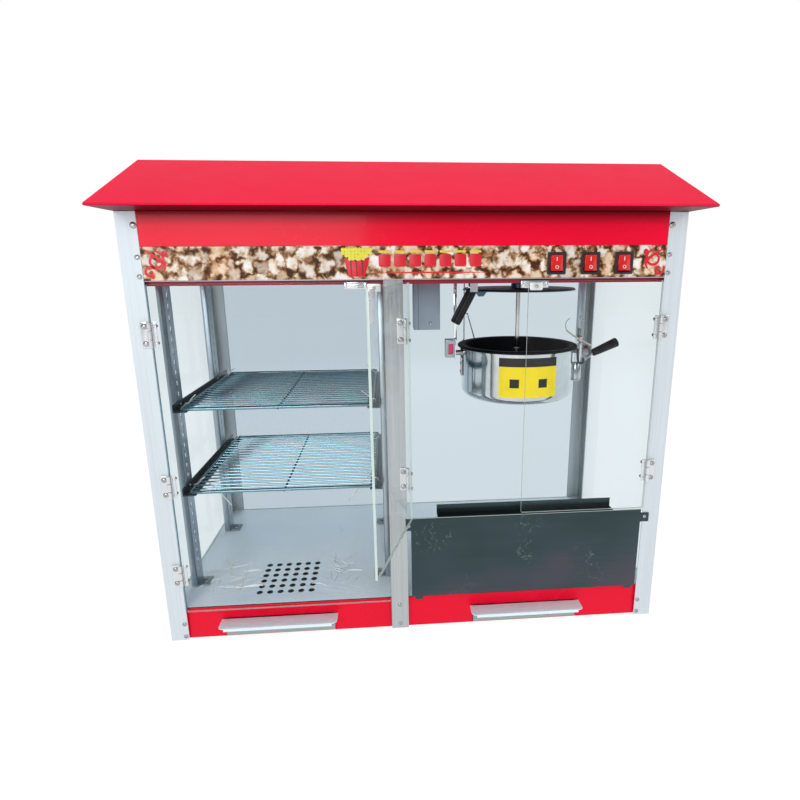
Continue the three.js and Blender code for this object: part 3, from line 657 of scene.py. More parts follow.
def soften(shape, edge, steps=2, angle=40):
    """Round the sharp edges of a shape."""
    sharp = [e for e in shape.edges if e.calc_face_angle(0) > math.radians(angle)]
    bmesh.ops.bevel(
        shape, geom=sharp, offset=edge, segments=steps, profile=0.5, affect="EDGES", clamp_overlap=True
    )
    return shape


def block(low, high, edge=0.4, steps=2):
    """A box with rounded edges."""
    size = [b - a for a, b in zip(low, high)]
    middle = [(a + b) / 2 for a, b in zip(low, high)]
    shape = bmesh.new()
    bmesh.ops.create_cube(
        shape, size=1, matrix=Matrix.Translation(middle) @ Matrix.Diagonal((*size, 1))
    )
    return soften(shape, min(edge, min(size) * 0.45), steps)


def plate(outlines, low, high, axis="Z", edge=0.3):
    """A flat plate with rounded rims: a first outline, then its holes, pushed along an axis."""
    curve = bpy.data.curves.new("plate", "CURVE")
    curve.dimensions = "2D"
    curve.fill_mode = "BOTH"
    half = (high - low) / 2
    rim = min(edge, half * 0.9)
    curve.extrude = half - rim
    curve.bevel_depth = rim
    curve.bevel_resolution = 1
    curve.offset = -rim
    for outline in outlines:
        spline = curve.splines.new("POLY")
        spline.points.add(len(outline) - 1)
        for point, (u, v) in zip(spline.points, outline):
            point.co = (u, v, 0, 1)
        spline.use_cyclic_u = True
    scratch = bpy.data.objects.new("plate", curve)
    mesh = bpy.data.meshes.new_from_object(scratch)
    shape = bmesh.new()
    shape.from_mesh(mesh)
    bpy.data.objects.remove(scratch)
    bpy.data.curves.remove(curve)
    bpy.data.meshes.remove(mesh)
    bmesh.ops.remove_doubles(shape, verts=shape.verts, dist=0.002)
    shape.transform(AXES[axis] @ Matrix.Translation((0, 0, (low + high) / 2)))
    return shape


def folded(line, thickness, low, high, axis="X", bend=3.0, edge=0.3):
    """A sheet bent along a line of (u, v) points and pushed along an axis."""
    line = rounded(line, bend, closed=False)
    left = []
    for i, point in enumerate(line):
        along = (line[min(i + 1, len(line) - 1)] - line[max(i - 1, 0)]).normalized()
        left.append(point + Vector((-along.y, along.x)) * thickness)
    shape = bmesh.new()
    rows = [
        [shape.verts.new((u, v, w)) for u, v in side] for w in (low, high) for side in (line, left)
    ]
    for i in range(len(line) - 1):
        for a, b in ((0, 1), (1, 3), (3, 2), (2, 0)):
            shape.faces.new((rows[a][i], rows[a][i + 1], rows[b][i + 1], rows[b][i]))
    for i in (0, -1):
        shape.faces.new((rows[0][i], rows[1][i], rows[3][i], rows[2][i]))
    soften(shape, edge, 1, 60)
    shape.transform(AXES[axis])
    return shape


def turned(profile, steps=48, closed=False, flutes=0, depth=0.0):
    """A profile of (radius, height) points turned about Z, with shallow flutes if asked."""
    shape = bmesh.new()
    rings = []
    for radius, height in profile:
        if radius < 1e-4:
            rings.append([shape.verts.new((0, 0, height))])
            continue
        ring = []
        for i in range(steps):
            angle = 2 * math.pi * i / steps
            r = radius * (1 - depth * (0.5 + 0.5 * math.cos(flutes * angle)) ** 3)
            ring.append(shape.verts.new((r * math.cos(angle), r * math.sin(angle), height)))
        rings.append(ring)
    pairs = list(zip(rings, rings[1:]))
    if closed:
        pairs.append((rings[-1], rings[0]))
    for a, b in pairs:
        for i in range(steps):
            j = (i + 1) % steps
            corners = [a[i % len(a)], a[j % len(a)], b[j % len(b)], b[i % len(b)]]
            corners = list(dict.fromkeys(corners))
            if len(corners) > 2:
                shape.faces.new(corners)
    return shape


def rod(length, radius, chamfer=0.5, steps=32):
    """A round bar along Z from 0, with chamfered ends."""
    return turned(
        [
            (0, 0),
            (radius - chamfer, 0),
            (radius, chamfer),
            (radius, length - chamfer),
            (radius - chamfer, length),
            (0, length),
        ],
        steps,
    )


def swept(path, radius, sides=12, closed=False):
    """A round bar along a path. radius is one number, or one for each point."""
    path = [Vector(p) for p in path]
    count = len(path)
    radii = radius if isinstance(radius, (list, tuple)) else [radius] * count
    shape = bmesh.new()
    rings = []
    normal = None
    for i, point in enumerate(path):
        if closed:
            along = (path[(i + 1) % count] - path[i - 1]).normalized()
        else:
            along = (path[min(i + 1, count - 1)] - path[max(i - 1, 0)]).normalized()
        if normal is None:
            normal = along.orthogonal().normalized()
        normal = (normal - along * normal.dot(along)).normalized()
        side = along.cross(normal)
        ring = []
        for k in range(sides):
            angle = 2 * math.pi * k / sides
            ring.append(
                shape.verts.new(point + (normal * math.cos(angle) + side * math.sin(angle)) * radii[i])
            )
        rings.append(ring)
    pairs = list(zip(rings, rings[1:]))
    if closed:
        pairs.append((rings[-1], rings[0]))
    for a, b in pairs:
        for k in range(sides):
            j = (k + 1) % sides
            shape.faces.new((a[k], a[j], b[j], b[k]))
    if not closed:
        shape.faces.new(rings[0])
        shape.faces.new(rings[-1])
    return shape


def ribbon(path, widths, front, thickness=0.25):
    """A flat strip in the XZ plane along a path of (x, z) points, its front face at y = front."""
    path = [Vector(p) for p in path]
    left, right = [], []
    for i, point in enumerate(path):
        along = (path[min(i + 1, len(path) - 1)] - path[max(i - 1, 0)]).normalized()
        across = Vector((-along.y, along.x)) * widths[i] / 2
        left.append(point + across)
        right.append(point - across)
    shape = bmesh.new()
    rows = [
        [shape.verts.new((x, y, z)) for x, z in side]
        for y in (front, front + thickness)
        for side in (left, right)
    ]
    for i in range(len(path) - 1):
        for a, b in ((0, 1), (1, 3), (3, 2), (2, 0)):
            shape.faces.new((rows[a][i], rows[a][i + 1], rows[b][i + 1], rows[b][i]))
    for i in (0, -1):
        shape.faces.new((rows[0][i], rows[1][i], rows[3][i], rows[2][i]))
    return shape


def carved(shape, cutter):
    """A shape less a cutter, by an exact boolean."""
    objects = []
    for part in (shape, cutter):
        bmesh.ops.recalc_face_normals(part, faces=part.faces)
        mesh = bpy.data.meshes.new("carve")
        part.to_mesh(mesh)
        part.free()
        made = bpy.data.objects.new("carve", mesh)
        bpy.context.scene.collection.objects.link(made)
        objects.append(made)
    whole, tool = objects
    modifier = whole.modifiers.new("cut", "BOOLEAN")
    modifier.operation = "DIFFERENCE"
    modifier.solver = "EXACT"
    modifier.object = tool
    bpy.context.view_layer.update()
    mesh = bpy.data.meshes.new_from_object(whole.evaluated_get(bpy.context.evaluated_depsgraph_get()))
    result = bmesh.new()
    result.from_mesh(mesh)
    bpy.data.meshes.remove(mesh)
    for made in objects:
        data = made.data
        bpy.data.objects.remove(made)
        bpy.data.meshes.remove(data)
    return result


def facing(place, direction, spin=0.0):
    """A matrix that stands a shape drawn along +Z at a place, along a direction."""
    turn = Vector(direction).to_track_quat("Z", "Y").to_matrix().to_4x4()
    return Matrix.Translation(place) @ turn @ Matrix.Rotation(spin, 4, "Z")


def screw_mesh():
    """A pan head of radius 1 with a cross recess, its seat at z = 0."""
    dome = [(1.0, 0.0), (1.0, 0.12)]
    dome += [(math.cos(a) ** 0.8, 0.12 + 0.42 * math.sin(a)) for a in (0.25, 0.55, 0.85, 1.15, 1.4)]
    head = turned([(0, 0), *dome, (0, 0.54)], 24)
    bar = plate(
        [[Vector(p) for p in cross_outline(0.6, 0.13)]], 0.26, 0.9, "Z", 0.02
    )
    head = carved(head, bar)
    mesh = bpy.data.meshes.new("screw")
    head.to_mesh(mesh)
    head.free()
    return mesh


def cross_outline(reach, half):
    return [
        (-reach, -half), (-half, -half), (-half, -reach), (half, -reach),
        (half, -half), (reach, -half), (reach, half), (half, half),
        (half, reach), (-half, reach), (-half, half), (-reach, half),
    ]


def screw(place, direction, radius):
    """A screw head at a place, with the matrix that stands it there."""
    shape = bmesh.new()
    shape.from_mesh(SCREW)
    spin = SEED.uniform(0, math.pi)
    shape.transform(facing(place, direction, spin) @ Matrix.Scale(radius, 4))
    return shape


def rivet(place, direction, radius):
    dome = [(radius * math.cos(a), radius * 0.55 * math.sin(a)) for a in (0, 0.4, 0.8, 1.2)]
    shape = turned([(0, 0), *dome, (0, radius * 0.55)], 20)
    shape.transform(facing(place, direction))
    return shape


# ------------------------------------------------------------------ CAD parts that keep their shape
def dress(finish, names, edge=0.4):
    """Give CAD nodes their finish and a small radius on their sharp edges."""
    for name in names:
        part = NODES[name]
        part.data.materials.clear()
        part.data.materials.append(FINISHES[finish])
        weld = part.modifiers.new("weld", "WELD")
        weld.merge_threshold = 0.00001
        flat = part.modifiers.new("flat", "DECIMATE")
        flat.decimate_type = "DISSOLVE"
        flat.angle_limit = math.radians(1)
        bevel = part.modifiers.new("edges", "BEVEL")
        bevel.width = edge * MM
        bevel.segments = 2
        bevel.limit_method = "ANGLE"
        bevel.angle_limit = math.radians(35)
        bevel.harden_normals = False


def dress_cad_parts():
    dress("red", ["base_tray", "top_housing", "roof_end_left", "roof_end_right"])
    dress("fascia_red", ["fascia_panel"])
    dress("aluminium", [f"corner_post_{end}_{side}" for end in ENDS for side in SIDES], 0.5)
    dress("steel_post", ["center_post"], 0.5)
    dress("print", ["control_panel"], 0.3)
    # the ceiling's underside takes the darker red as painted shade
    dress("red_painted_shade", ["ceiling_plate"], 0.3)
    dress("steel", ["warmer_heater", "gear_motor"])
    dress("chrome", ["lever_bracket"], 0.3)
    dress("black", ["power_inlet"])


# ------------------------------------------------------------------ roof, base and frame
ENDS = ("front", "rear")
SIDES = ("left", "right")
SHEET = 1.5


def make_roof():
    """The folded roof: soffits, turned eaves, two slopes and a flat top, with rolled bends."""
    (x0, y0, z0), (x1, y1, z1) = limits("roof_shell")
    eave, soffit, half_flat = 3, 126, 85
    line = [
        (y0 + soffit, z0), (y0, z0), (y0, z0 + eave), (-half_flat, z1),
        (half_flat, z1), (y1, z0 + eave), (y1, z0), (y1 - soffit, z0),
    ]
    roof = Piece("roof_skin", "cabinet", "red_paint", "roof_shell")
    roof.take(folded(line, -SHEET, x0, x1, "X", bend=2.2), "roof_red")
    for face in roof.mesh.faces:
        # faces that look down, the soffits, take the darker red as painted shade
        if face.normal.z < -0.6:
            face.material_index = roof.index("soffit_red_painted_shade")
    roof.done()


def make_post_screws():
    """Pan head screws along the corner posts and the centre post."""
    screws = Piece("frame_screws", "cabinet", "steel")
    for side in (-1, 1):
        for z in POST_SCREWS:
            radius = 4.9 if z == POST_SCREWS[0] else 3.8
            screws.take(screw((side * 405, -200, z), (0, -1, 0), radius), "screw")
            screws.take(screw((side * 405, 200, z), (0, 1, 0), radius), "screw")
        for z in (POST_SCREWS[0], POST_SCREWS[-2]):
            for y in (-184, 184):
                screws.take(screw((side * 430, y, z), (side, 0, 0), radius), "screw")
    for z in CENTER_SCREWS:
        screws.take(screw((CENTER_X, -200, z), (0, -1, 0), radius), "screw")
    screws.done()


POST_SCREWS = (692, 647, 619, 31, 7)
CENTER_SCREWS = (46.7, 8.8)
CENTER_X = -32
VENT = {"holes": 6, "pitch": 18.5, "radius": 5.4, "y": -114, "left": -238, "right": 194}


def crease(path, height, width):
    """A sharp fold in the film, which rises and dies away along its path."""
    shape = bmesh.new()
    rows = []
    count = len(path)
    path = [Vector(p) for p in path]
    for i, point in enumerate(path):
        along = (path[min(i + 1, count - 1)] - path[max(i - 1, 0)]).normalized()
        across = Vector((-along.y, along.x, 0))
        rise = max(0.0, math.sin(math.pi * i / (count - 1))) ** 0.6
        rows.append(
            [
                shape.verts.new(point - across * width * rise),
                shape.verts.new(point + Vector((0, 0, 0.05 + height * rise))),
                shape.verts.new(point + across * width * 0.5 * rise),
            ]
        )
    for a, b in zip(rows[1:-2], rows[2:-1]):
        shape.faces.new((a[0], b[0], b[1], a[1]))
        shape.faces.new((a[1], b[1], b[2], a[2]))
    for v in (*rows[0], *rows[-1]):
        shape.verts.remove(v)
    return shape


def make_floors():
    """Perforated floor sheets, still under their protective film, which has creased."""
    middle = (VENT["holes"] - 1) / 2
    for side in SIDES:
        name = f"floor_plate_{side}"
        (x0, y0, z0), (x1, y1, z1) = limits(name)
        holes = [
            circle(
                VENT[side] + (i - middle) * VENT["pitch"],
                VENT["y"] + (j - middle) * VENT["pitch"],
                VENT["radius"],
            )
            for i in range(VENT["holes"])
            for j in range(VENT["holes"])
        ]
        floor = Piece(f"floor_{side}", "cabinet", "film_steel", name)
        sheet = plate([rectangle(x0, y0, x1, y1), *holes], z0, z1, "Z", 0.15)
        # the walls of the vent holes are painted near black, as painted shade
        floor.take(sheet, "film", rim="vent_painted_shade", across=2)
        reach = middle * VENT["pitch"] + 12
        for i in range(46):
            away = SEED.uniform(reach + 18, reach + (82 if i % 3 else 50))
            x = VENT[side] + (-away if i % 3 else away)
            y = SEED.uniform(-165, -62)
            heading = SEED.uniform(0, math.pi)
            bend = SEED.uniform(-0.09, 0.09)
            path = []
            for _ in range(14):
                path.append((x, y, z1))
                heading += bend + SEED.uniform(-0.25, 0.25)
                x += 3.2 * math.cos(heading)
                y += 3.2 * math.sin(heading)
            floor.take(crease(path, SEED.uniform(1.6, 3.2), SEED.uniform(0.9, 1.9)), "film_crease")
        # a near black plate under the vent holes stands in for the shade below the floor
        low = (VENT[side] - reach, VENT["y"] - reach, z0 - 1.6)
        high = (VENT[side] + reach, VENT["y"] + reach, z0 - 0.6)
        floor.take(block(low, high), "vent_painted_shade")
        floor.done()


def make_drawer(side):
    """A crumb drawer: a shallow tray with a film-covered lip to pull it by."""
    name = f"drawer_{side}"
    (x0, y0, z0), (x1, y1, z1) = limits(name)
    face_y = y0 + 28
    wall = 1.2
    inset = 6
    drawer = Piece(f"crumb_drawer_{side}", f"{side}_drawer", "film_steel", name)
    a, b = x0 + inset, x1 - inset
    drawer.take(block((a, face_y, z0), (b, y1, z0 + wall)), "steel")
    for low, high in (
        ((a, face_y, z0), (a + wall, y1, z1)),
        ((b - wall, face_y, z0), (b, y1, z1)),
        ((a, y1 - wall, z0), (b, y1, z1)),
    ):
        drawer.take(block(low, high), "steel")
    drawer.take(block((a, face_y, z0), (b, face_y + wall, z1 - 0.5), 0.5), "drawer_face")
    lip_y = face_y + 0.6
    corner = 9
    top = rounded([(x0, lip_y), (x0, y0), (x1, y0), (x1, lip_y)], corner, 6, closed=False)
    drawer.take(plate([top], z1 - SHEET, z1, "Z", 0.5), "film_white")
    drawer.take(
        block((x0 + corner, y0, z1 - 6), (x1 - corner, y0 + SHEET, z1 - 0.6), 0.5), "film_white"
    )
    drawer.done()


# ------------------------------------------------------------------ panes, doors and hinges
def make_panes():
    """Side, rear and partition panes, with polished rims."""
    for name, finish, axis, slot in (
        ("side_glass_left", "glass", "X", "glass"),
        ("side_glass_right", "glass", "X", "glass"),
        ("rear_glass", "rear_glass", "Y", "glass"),
        ("partition_glass", "acrylic", "X", "acrylic"),
    ):
        low, high = limits(name)
        w = "XYZ".index(axis)
        u, v = [i for i in range(3) if i != w]
        pane = Piece(name + "_pane", "cabinet", slot, name)
        outline = rectangle(low[u], low[v], high[u], high[v], 1.5)
        pane.take(plate([outline], low[w], high[w], axis, 0.4), finish, rim="acrylic_edge", across=w)
        pane.done()


HINGE = {"leaf": 13, "plate": 2.4, "height": 40, "barrel": 3.2, "axis_y": 4, "screw": 13}
HINGE_ZS = (533, 286, 126)
DOORS = {
    "left": {"axis": -399.6, "side": 1, "width": 350.8, "low": 54, "hinges": 3, "open": 0},
    "center": {"axis": -14.6, "side": 1, "width": 192.3, "low": 214.5, "hinges": 2, "open": 107},
    "right": {"axis": 399.6, "side": -1, "width": 218.3, "low": 214.5, "hinges": 2, "open": 0},
}
DOOR_TOP = 608
DOOR_PLAY = 0.7
PANE = 4


def knuckle(z0, z1, radius):
    shape = turned(
        [(0, z0), (radius - 0.4, z0), (radius, z0 + 0.4), (radius, z1 - 0.4), (radius - 0.4, z1), (0, z1)],
        24,
    )
    return shape


def make_hinges():
    """Butt hinges on the posts: a leaf with two screws, and a barrel of three knuckles."""
    half = HINGE["height"] / 2
    knuckles = ((-half, -7), (-6.6, 6.6), (7, half))
    for door_name, door in DOORS.items():
        side = door["side"]
        for i in range(door["hinges"]):
            z = HINGE_ZS[i]
            name = f"hinge_{door_name}_{i + 1}"
            hinge = Piece(f"butt_{name}", "cabinet", "chrome", name)
            x0, x1 = sorted((door["axis"] - side * HINGE["leaf"], door["axis"] - side * 1))
            back = -200.3
            outline = rectangle(x0, z - half, x1, z + half, 2)
            hinge.take(plate([outline], back - HINGE["plate"], back, "Y", 0.4), "hinge")
            for low, high in knuckles:
                hinge.take(
                    knuckle(z + low, z + high, HINGE["barrel"]),
                    "hinge",
                    Matrix.Translation((door["axis"], -204, 0)),
                )
            for step in (-1, 1):
                place = (door["axis"] - side * 7.5, back - HINGE["plate"], z + step * HINGE["screw"])
                hinge.take(screw(place, (0, -1, 0), 4.4), "screw")
            hinge.done()


def make_door(name):
    """An acrylic door drawn about its hinge axis and swung to its rest angle."""
    door = DOORS[name]
    side = door["side"]
    turn = Matrix.Rotation(math.radians(-side * door["open"]), 4, "Z")
    place = Matrix.Translation((door["axis"], -204, 0)) @ turn
    body = f"{name}_door"
    x0, x1 = sorted((side * DOOR_PLAY, side * (DOOR_PLAY + door["width"])))
    front = HINGE["axis_y"]
    pane = Piece(f"{name}_door_pane", body, "acrylic", f"door_{name}", place=place)
    outline = rectangle(x0, door["low"], x1, DOOR_TOP, 3)
    pane.take(
        plate([outline], front, front + PANE, "Y", 0.5), "acrylic", rim="acrylic_edge", across=1
    )
    pane.done()
    metal = Piece(f"{name}_door_leaves", body, "chrome", place=place)
    half = HINGE["height"] / 2
    for z in HINGE_ZS[: door["hinges"]]:
        a, b = sorted((side * (HINGE["barrel"] + 0.5), side * (HINGE["leaf"] - 3)))
        leaf = rectangle(a, z - half, b, z + half, 2)
        metal.take(plate([leaf], front - 1.5, front - 0.3, "Y", 0.4), "hinge")
        for step in (-1, 1):
            spot = (side * 6.9, front - 1.5, z + step * HINGE["screw"])
            metal.take(rivet(spot, (0, -1, 0), 2), "hinge")
            back = (side * 6.9, front + PANE, z + step * HINGE["screw"])
            metal.take(nut(2.9, 2.2), "screw", facing(back, (0, 1, 0)))
    free = side * (DOOR_PLAY + door["width"])
    a, b = sorted((free - side * 3, free - side * 23))
    strike = rectangle(a, DOOR_TOP - 14, b, DOOR_TOP - 2, 1.5)
    metal.take(plate([strike], front + PANE - 0.2, front + PANE + 0.25, "Y", 0.1), "strike")
    metal.take(rivet(((a + b) / 2, front, DOOR_TOP - 8), (0, -1, 0), 2.6), "screw")
    if name == "center":
        tag = rectangle(a - 4, DOOR_TOP - 44, b - 2, DOOR_TOP - 16, 1.5)
        metal.take(plate([tag], front - 0.25, front - 0.05, "Y", 0.05), "tie_white")
    # a dark teal strip along the left door's hinge edge is painted shade in the gap beside the post
    if name == "left":
        metal.take(block((x0 - 0.2, front - 0.2, door["low"]), (x0 + 0.7, front + 3, DOOR_TOP), 0.2), "teal_gap_shade")
    metal.done()


def nut(radius, height):
    hexagon = [
        Vector((radius * math.cos(k * math.pi / 3), radius * math.sin(k * math.pi / 3)))
        for k in range(6)
    ]
    return plate([hexagon], 0, height, "Z", 0.3)


def make_catches():
    """Magnetic catches on the flange behind the door tops."""
    for name in ("catch_center", "catch_left"):
        (x0, y0, z0), (x1, y1, z1) = limits(name)
        piece = Piece("magnetic_" + name, "cabinet", "chrome", name)
        piece.take(block((x0, y0 + 1.2, z0), (x1, y1, z1), 0.8), "hinge")
        for i in range(3):
            z = z0 + 2.2 + i * 3.1
            piece.take(block((x0 + 4, y0, z), (x1 - 4, y0 + 2, z + 1.7), 0.4), "steel")
        for x in (x0 + 2.4, x1 - 2.4):
            piece.take(block((x - 2, y0 - 0.2, z0 + 1), (x + 2, y0 + 2, z1 - 0.5), 0.5), "hinge")
        piece.done()


# ------------------------------------------------------------------ baffle, uprights and shelves
def make_baffle():
    """The mirror steel baffle of the popping side, with its tabs, feet and rear lip."""
    (x0, y0, z0), (x1, _, _) = limits("baffle")
    left, right = x0 + 9, x1 - 15
    low, high = z0 + 6, 213
    outline = [
        (left, low), (left + 6, low), (left + 6, z0), (left + 20, z0), (left + 20, low),
        (right - 20, low), (right - 20, z0), (right - 6, z0), (right - 6, low), (right, low),
        (right, high - 24), (x1, high - 24), (x1, high - 7), (right, high - 7), (right, high),
        (left, high), (left, high - 1), (x0, high - 1), (x0, high - 23), (left, high - 23),
    ]
    baffle = Piece("baffle_sheet", "cabinet", "steel", "baffle")
    baffle.take(plate([rounded(outline, 1.5, 2)], y0, y0 + 1.2, "Y", 0.35), "mirror_steel")
    lip = [(y0 + 1, high - 1.2), (y0 + 21, high - 1.2), (y0 + 21, high + 15)]
    baffle.take(folded(lip, 1.2, left + 46, right - 50, "X", 1.5), "mirror_steel")
    hem = rounded([(left, y0, high), (right, y0, high)], 1, closed=False)
    baffle.take(swept([p + Vector((0, 0.6, -0.3)) for p in hem], 0.75, 10), "hem")
    for x in (left - 4, right + 7):
        baffle.take(screw((x, y0, high - 14), (0, -1, 0), 3.2), "screw")
    baffle.done()


SHELF = {"wires": 19, "wire": 1.6, "rail": 3, "sink": 0.5}
SHELVES = {"upper": 405, "lower": 256}
RACK = {"x": 402, "right_x": -58, "face": 11, "web": 32, "reach": 22, "slot": 5, "pitch": 18.5}
RACK_YS = (-130, 85)


def make_rack(side):
    """Two slotted angle uprights with their feet, and a rail with a raised flange for each shelf."""
    name = f"rack_{side}"
    (_, _, z0), (_, _, z1) = limits(name)
    inner = -RACK["x"] if side == "left" else RACK["right_x"]
    inward = 1 if side == "left" else -1

    def across(start, end, y0, y1, low, high):
        a, b = sorted((inner + inward * start, inner + inward * end))
        return (a, y0, low), (b, y1, high)

    rack = Piece(f"slotted_{name}", "cabinet", "steel", name)
    for y in RACK_YS:
        rack.take(block(*across(-RACK["face"], 0, y, y + SHEET, z0, z1), 0.4), "steel_z")
        middle = y + RACK["web"] / 2
        slots = []
        z = z0 + 24
        while z < z1 - 20:
            half = RACK["slot"] / 2
            slots.append(rectangle(middle - half, z, middle + half, z + 8, 1, 2))
            z += RACK["pitch"]
        (a, _, _), (b, _, _) = across(-SHEET, 0, y, y, z0, z1)
        web = rectangle(y, z0, y + RACK["web"], z1, 0.6)
        rack.take(plate([web, *slots], a, b, "X", 0.3), "steel_z")
        rack.take(block(*across(-4, 20, y + 2, y + 30, z0, z0 + 2), 0.5), "steel_z")
        rack.take(screw((inner + inward * 10, y + 16, z0 + 2), (0, 0, 1), 4.6), "screw")
    (_, y0, _), (_, y1, _) = limits("shelf_upper")
    for top in SHELVES.values():
        seat = top - 2 * SHELF["rail"] - 0.3
        rack.take(block(*across(0, RACK["reach"], y0, y1, seat - 2.5, seat), 0.4), "rail")
        rack.take(block(*across(0, 1.6, y0, y1, seat - 2, top + 5), 0.4), "rail")
        for y in RACK_YS:
            stud = (inner + inward * 1.6, y + RACK["web"] / 2, top - 2)
            rack.take(rivet(stud, (inward, 0, 0), 3.4), "screw")
    rack.done()


def make_shelf(level):
    """A welded wire shelf: a round frame, thin wires from side to side, and a stay below them."""
    name = f"shelf_{level}"
    (x0, y0, z0), (x1, y1, z1) = limits(name)
    rail = SHELF["rail"]
    z = z1 - rail
    corners = [
        (x0 + rail, y0 + rail, z), (x1 - rail, y0 + rail, z),
        (x1 - rail, y1 - rail, z), (x0 + rail, y1 - rail, z),
    ]
    shelf = Piece(f"wire_{name}", f"{level}_shelf", "steel", name)
    shelf.take(swept(rounded(corners, 7, 5), rail, 14, closed=True), "wire")
    pitch = (y1 - y0) / (SHELF["wires"] + 1)
    wire_z = z1 - SHELF["sink"] - SHELF["wire"]
    for i in range(1, SHELF["wires"] + 1):
        y = y0 + i * pitch
        shelf.take(swept([(x0 + 2, y, wire_z), (x1 - 2, y, wire_z)], SHELF["wire"], 8), "wire")
    middle = (x0 + x1) / 2
    stay_z = wire_z - 2 * SHELF["wire"]
    shelf.take(swept([(middle, y0 + 2, stay_z), (middle, y1 - 2, stay_z)], 1.9, 8), "stay")
    for x, out in ((x0 + rail, 1), (x1 - rail, -1)):
        for y in (y0 + 34, y1 - 40):
            loop = [(x + u, y, z + w) for u, w in ((-3.3, -2), (-3.3, 2), (0, 3.6), (3.6, 2), (3.6, -2.6))]
            shelf.take(swept(rounded(loop, 1.5, 3, closed=False), 0.8, 8), "tie_white")
            tail = [(x + out * 3, y, z + 3), (x + out * 14, y - 8, z + 15), (x + out * 20, y - 10, z + 20)]
            shelf.take(swept(rounded(tail, 4, 4, closed=False), 0.9, 8), "tie_white")
        if level == "lower":
            start = x + out * 14
            tail = [(start, -92, z - 4), (start + out * 20, -92, z - 27), (start + out * 38, -94, z - 50)]
            shelf.take(swept(rounded(tail, 9, 4, closed=False), 1, 8), "tie_white")
    shelf.done()


def make_lamp():
    """A reflector bulb in the ceiling of the warming side."""
    (x0, y0, z0), (x1, y1, z1) = limits("warming_lamp")
    place = Matrix.Translation(((x0 + x1) / 2, (y0 + y1) / 2, 0))
    lamp = Piece("reflector_lamp", "cabinet", "lamp_glass", "warming_lamp")
    bowl = [(0, z0), (12, z0 + 1), (22, z0 + 5), (28, z0 + 13), (29, z0 + 22), (26, z0 + 32), (17, z0 + 46)]
    lamp.take(turned([*bowl, (14, z0 + 49), (0, z0 + 49)], 40), "lamp", place)
    cap = [(0, z0 + 49), (13.5, z0 + 49)]
    for i in range(4):
        z = z0 + 52 + i * 6
        cap += [(13.8, z), (12.6, z + 2), (12.6, z + 3), (13.8, z + 5)]
    cap += [(9, z1 - 2), (5, z1), (0, z1)]
    lamp.take(turned(cap, 40), "screw", place)
    lamp.done()


# ------------------------------------------------------------------ kettle
KETTLE = {"x": 208, "y": -15, "shell": 107, "low": 384, "rim": 484, "rim_radius": 115, "pivot": 468}
AT_KETTLE = Matrix.Translation((KETTLE["x"], KETTLE["y"], 0))


def make_kettle_shell():
    """The polished outer shell with its trunnions, the left strap and a plain two-tone label."""
    r, low, top = KETTLE["shell"], KETTLE["low"], KETTLE["rim"] - 4.3
    bend, wall = 16, 1.5
    outer = [
        (r - bend + bend * math.sin(a), low + bend - bend * math.cos(a))
        for a in (math.pi / 2 * i / 8 for i in range(9))
    ]
    inner = [(u - wall * u / r, v + wall * (1 - u / r)) for u, v in reversed(outer)]
    profile = [(0, low), *outer, (r, top - 6), (r + 0.4, top - 3), (r, top), (r - wall, top)]
    profile += [(r - wall, low + bend), *inner[1:], (0, low + wall)]
    shell = Piece("kettle_jacket", "kettle", "chrome", "kettle_shell")
    shell.take(turned(profile, 128), "kettle", AT_KETTLE)
    x, y, z = KETTLE["x"], KETTLE["y"], KETTLE["pivot"]
    for start, end in ((x - r + 1, 72), (x + r - 1, 346)):
        pin = rod(abs(end - start), 5, 0.8)
        shell.take(pin, "screw", facing((start, y, z), (end - start, 0, 0)))
        collar = rod(4, 9, 0.8)
        side = math.copysign(1, end - start)
        shell.take(collar, "screw", facing((start + side * 0.5, y, z), (side, 0, 0)))
    strap = rectangle(y - 9, 423, y + 9, 460, 3)
    shell.take(plate([strap], x - r - 2.6, x - r - 0.8, "X", 0.4), "screw")
    for spot in (431, 447):
        shell.take(rivet((x - r - 2.6, y, spot), (-1, 0, 0), 3.2), "screw")
    shell.done()
    label = Piece("kettle_label", "kettle", "chrome")
    for z0, z1, finish in ((400, 456.2, "yellow"), (456.2, 472, "label_black")):
        label.take(wrapped(-29.7, 28.5, z0, z1, r + 0.12, 0.2), finish, AT_KETTLE)
    for middle in (-14.5, 13.5):
        label.take(wrapped(middle - 4.5, middle + 4.5, 418, 434, r + 0.3, 0.1, 6), "label_black", AT_KETTLE)
    label.done()


def wrapped(start, end, z0, z1, radius, thickness, steps=24):
    """A thin patch on a cylinder about Z. Angles in degrees from the front, towards +X."""
    shape = bmesh.new()
    rows = []
    for r in (radius, radius + thickness):
        for z in (z0, z1):
            row = []
            for i in range(steps + 1):
                a = math.radians(start + (end - start) * i / steps)
                row.append(shape.verts.new((r * math.sin(a), -r * math.cos(a), z)))
            rows.append(row)
    for i in range(steps):
        for a, b in ((0, 1), (1, 3), (3, 2), (2, 0)):
            shape.faces.new((rows[a][i], rows[a][i + 1], rows[b][i + 1], rows[b][i]))
    for i in (0, -1):
        shape.faces.new((rows[0][i], rows[1][i], rows[3][i], rows[2][i]))
    return shape


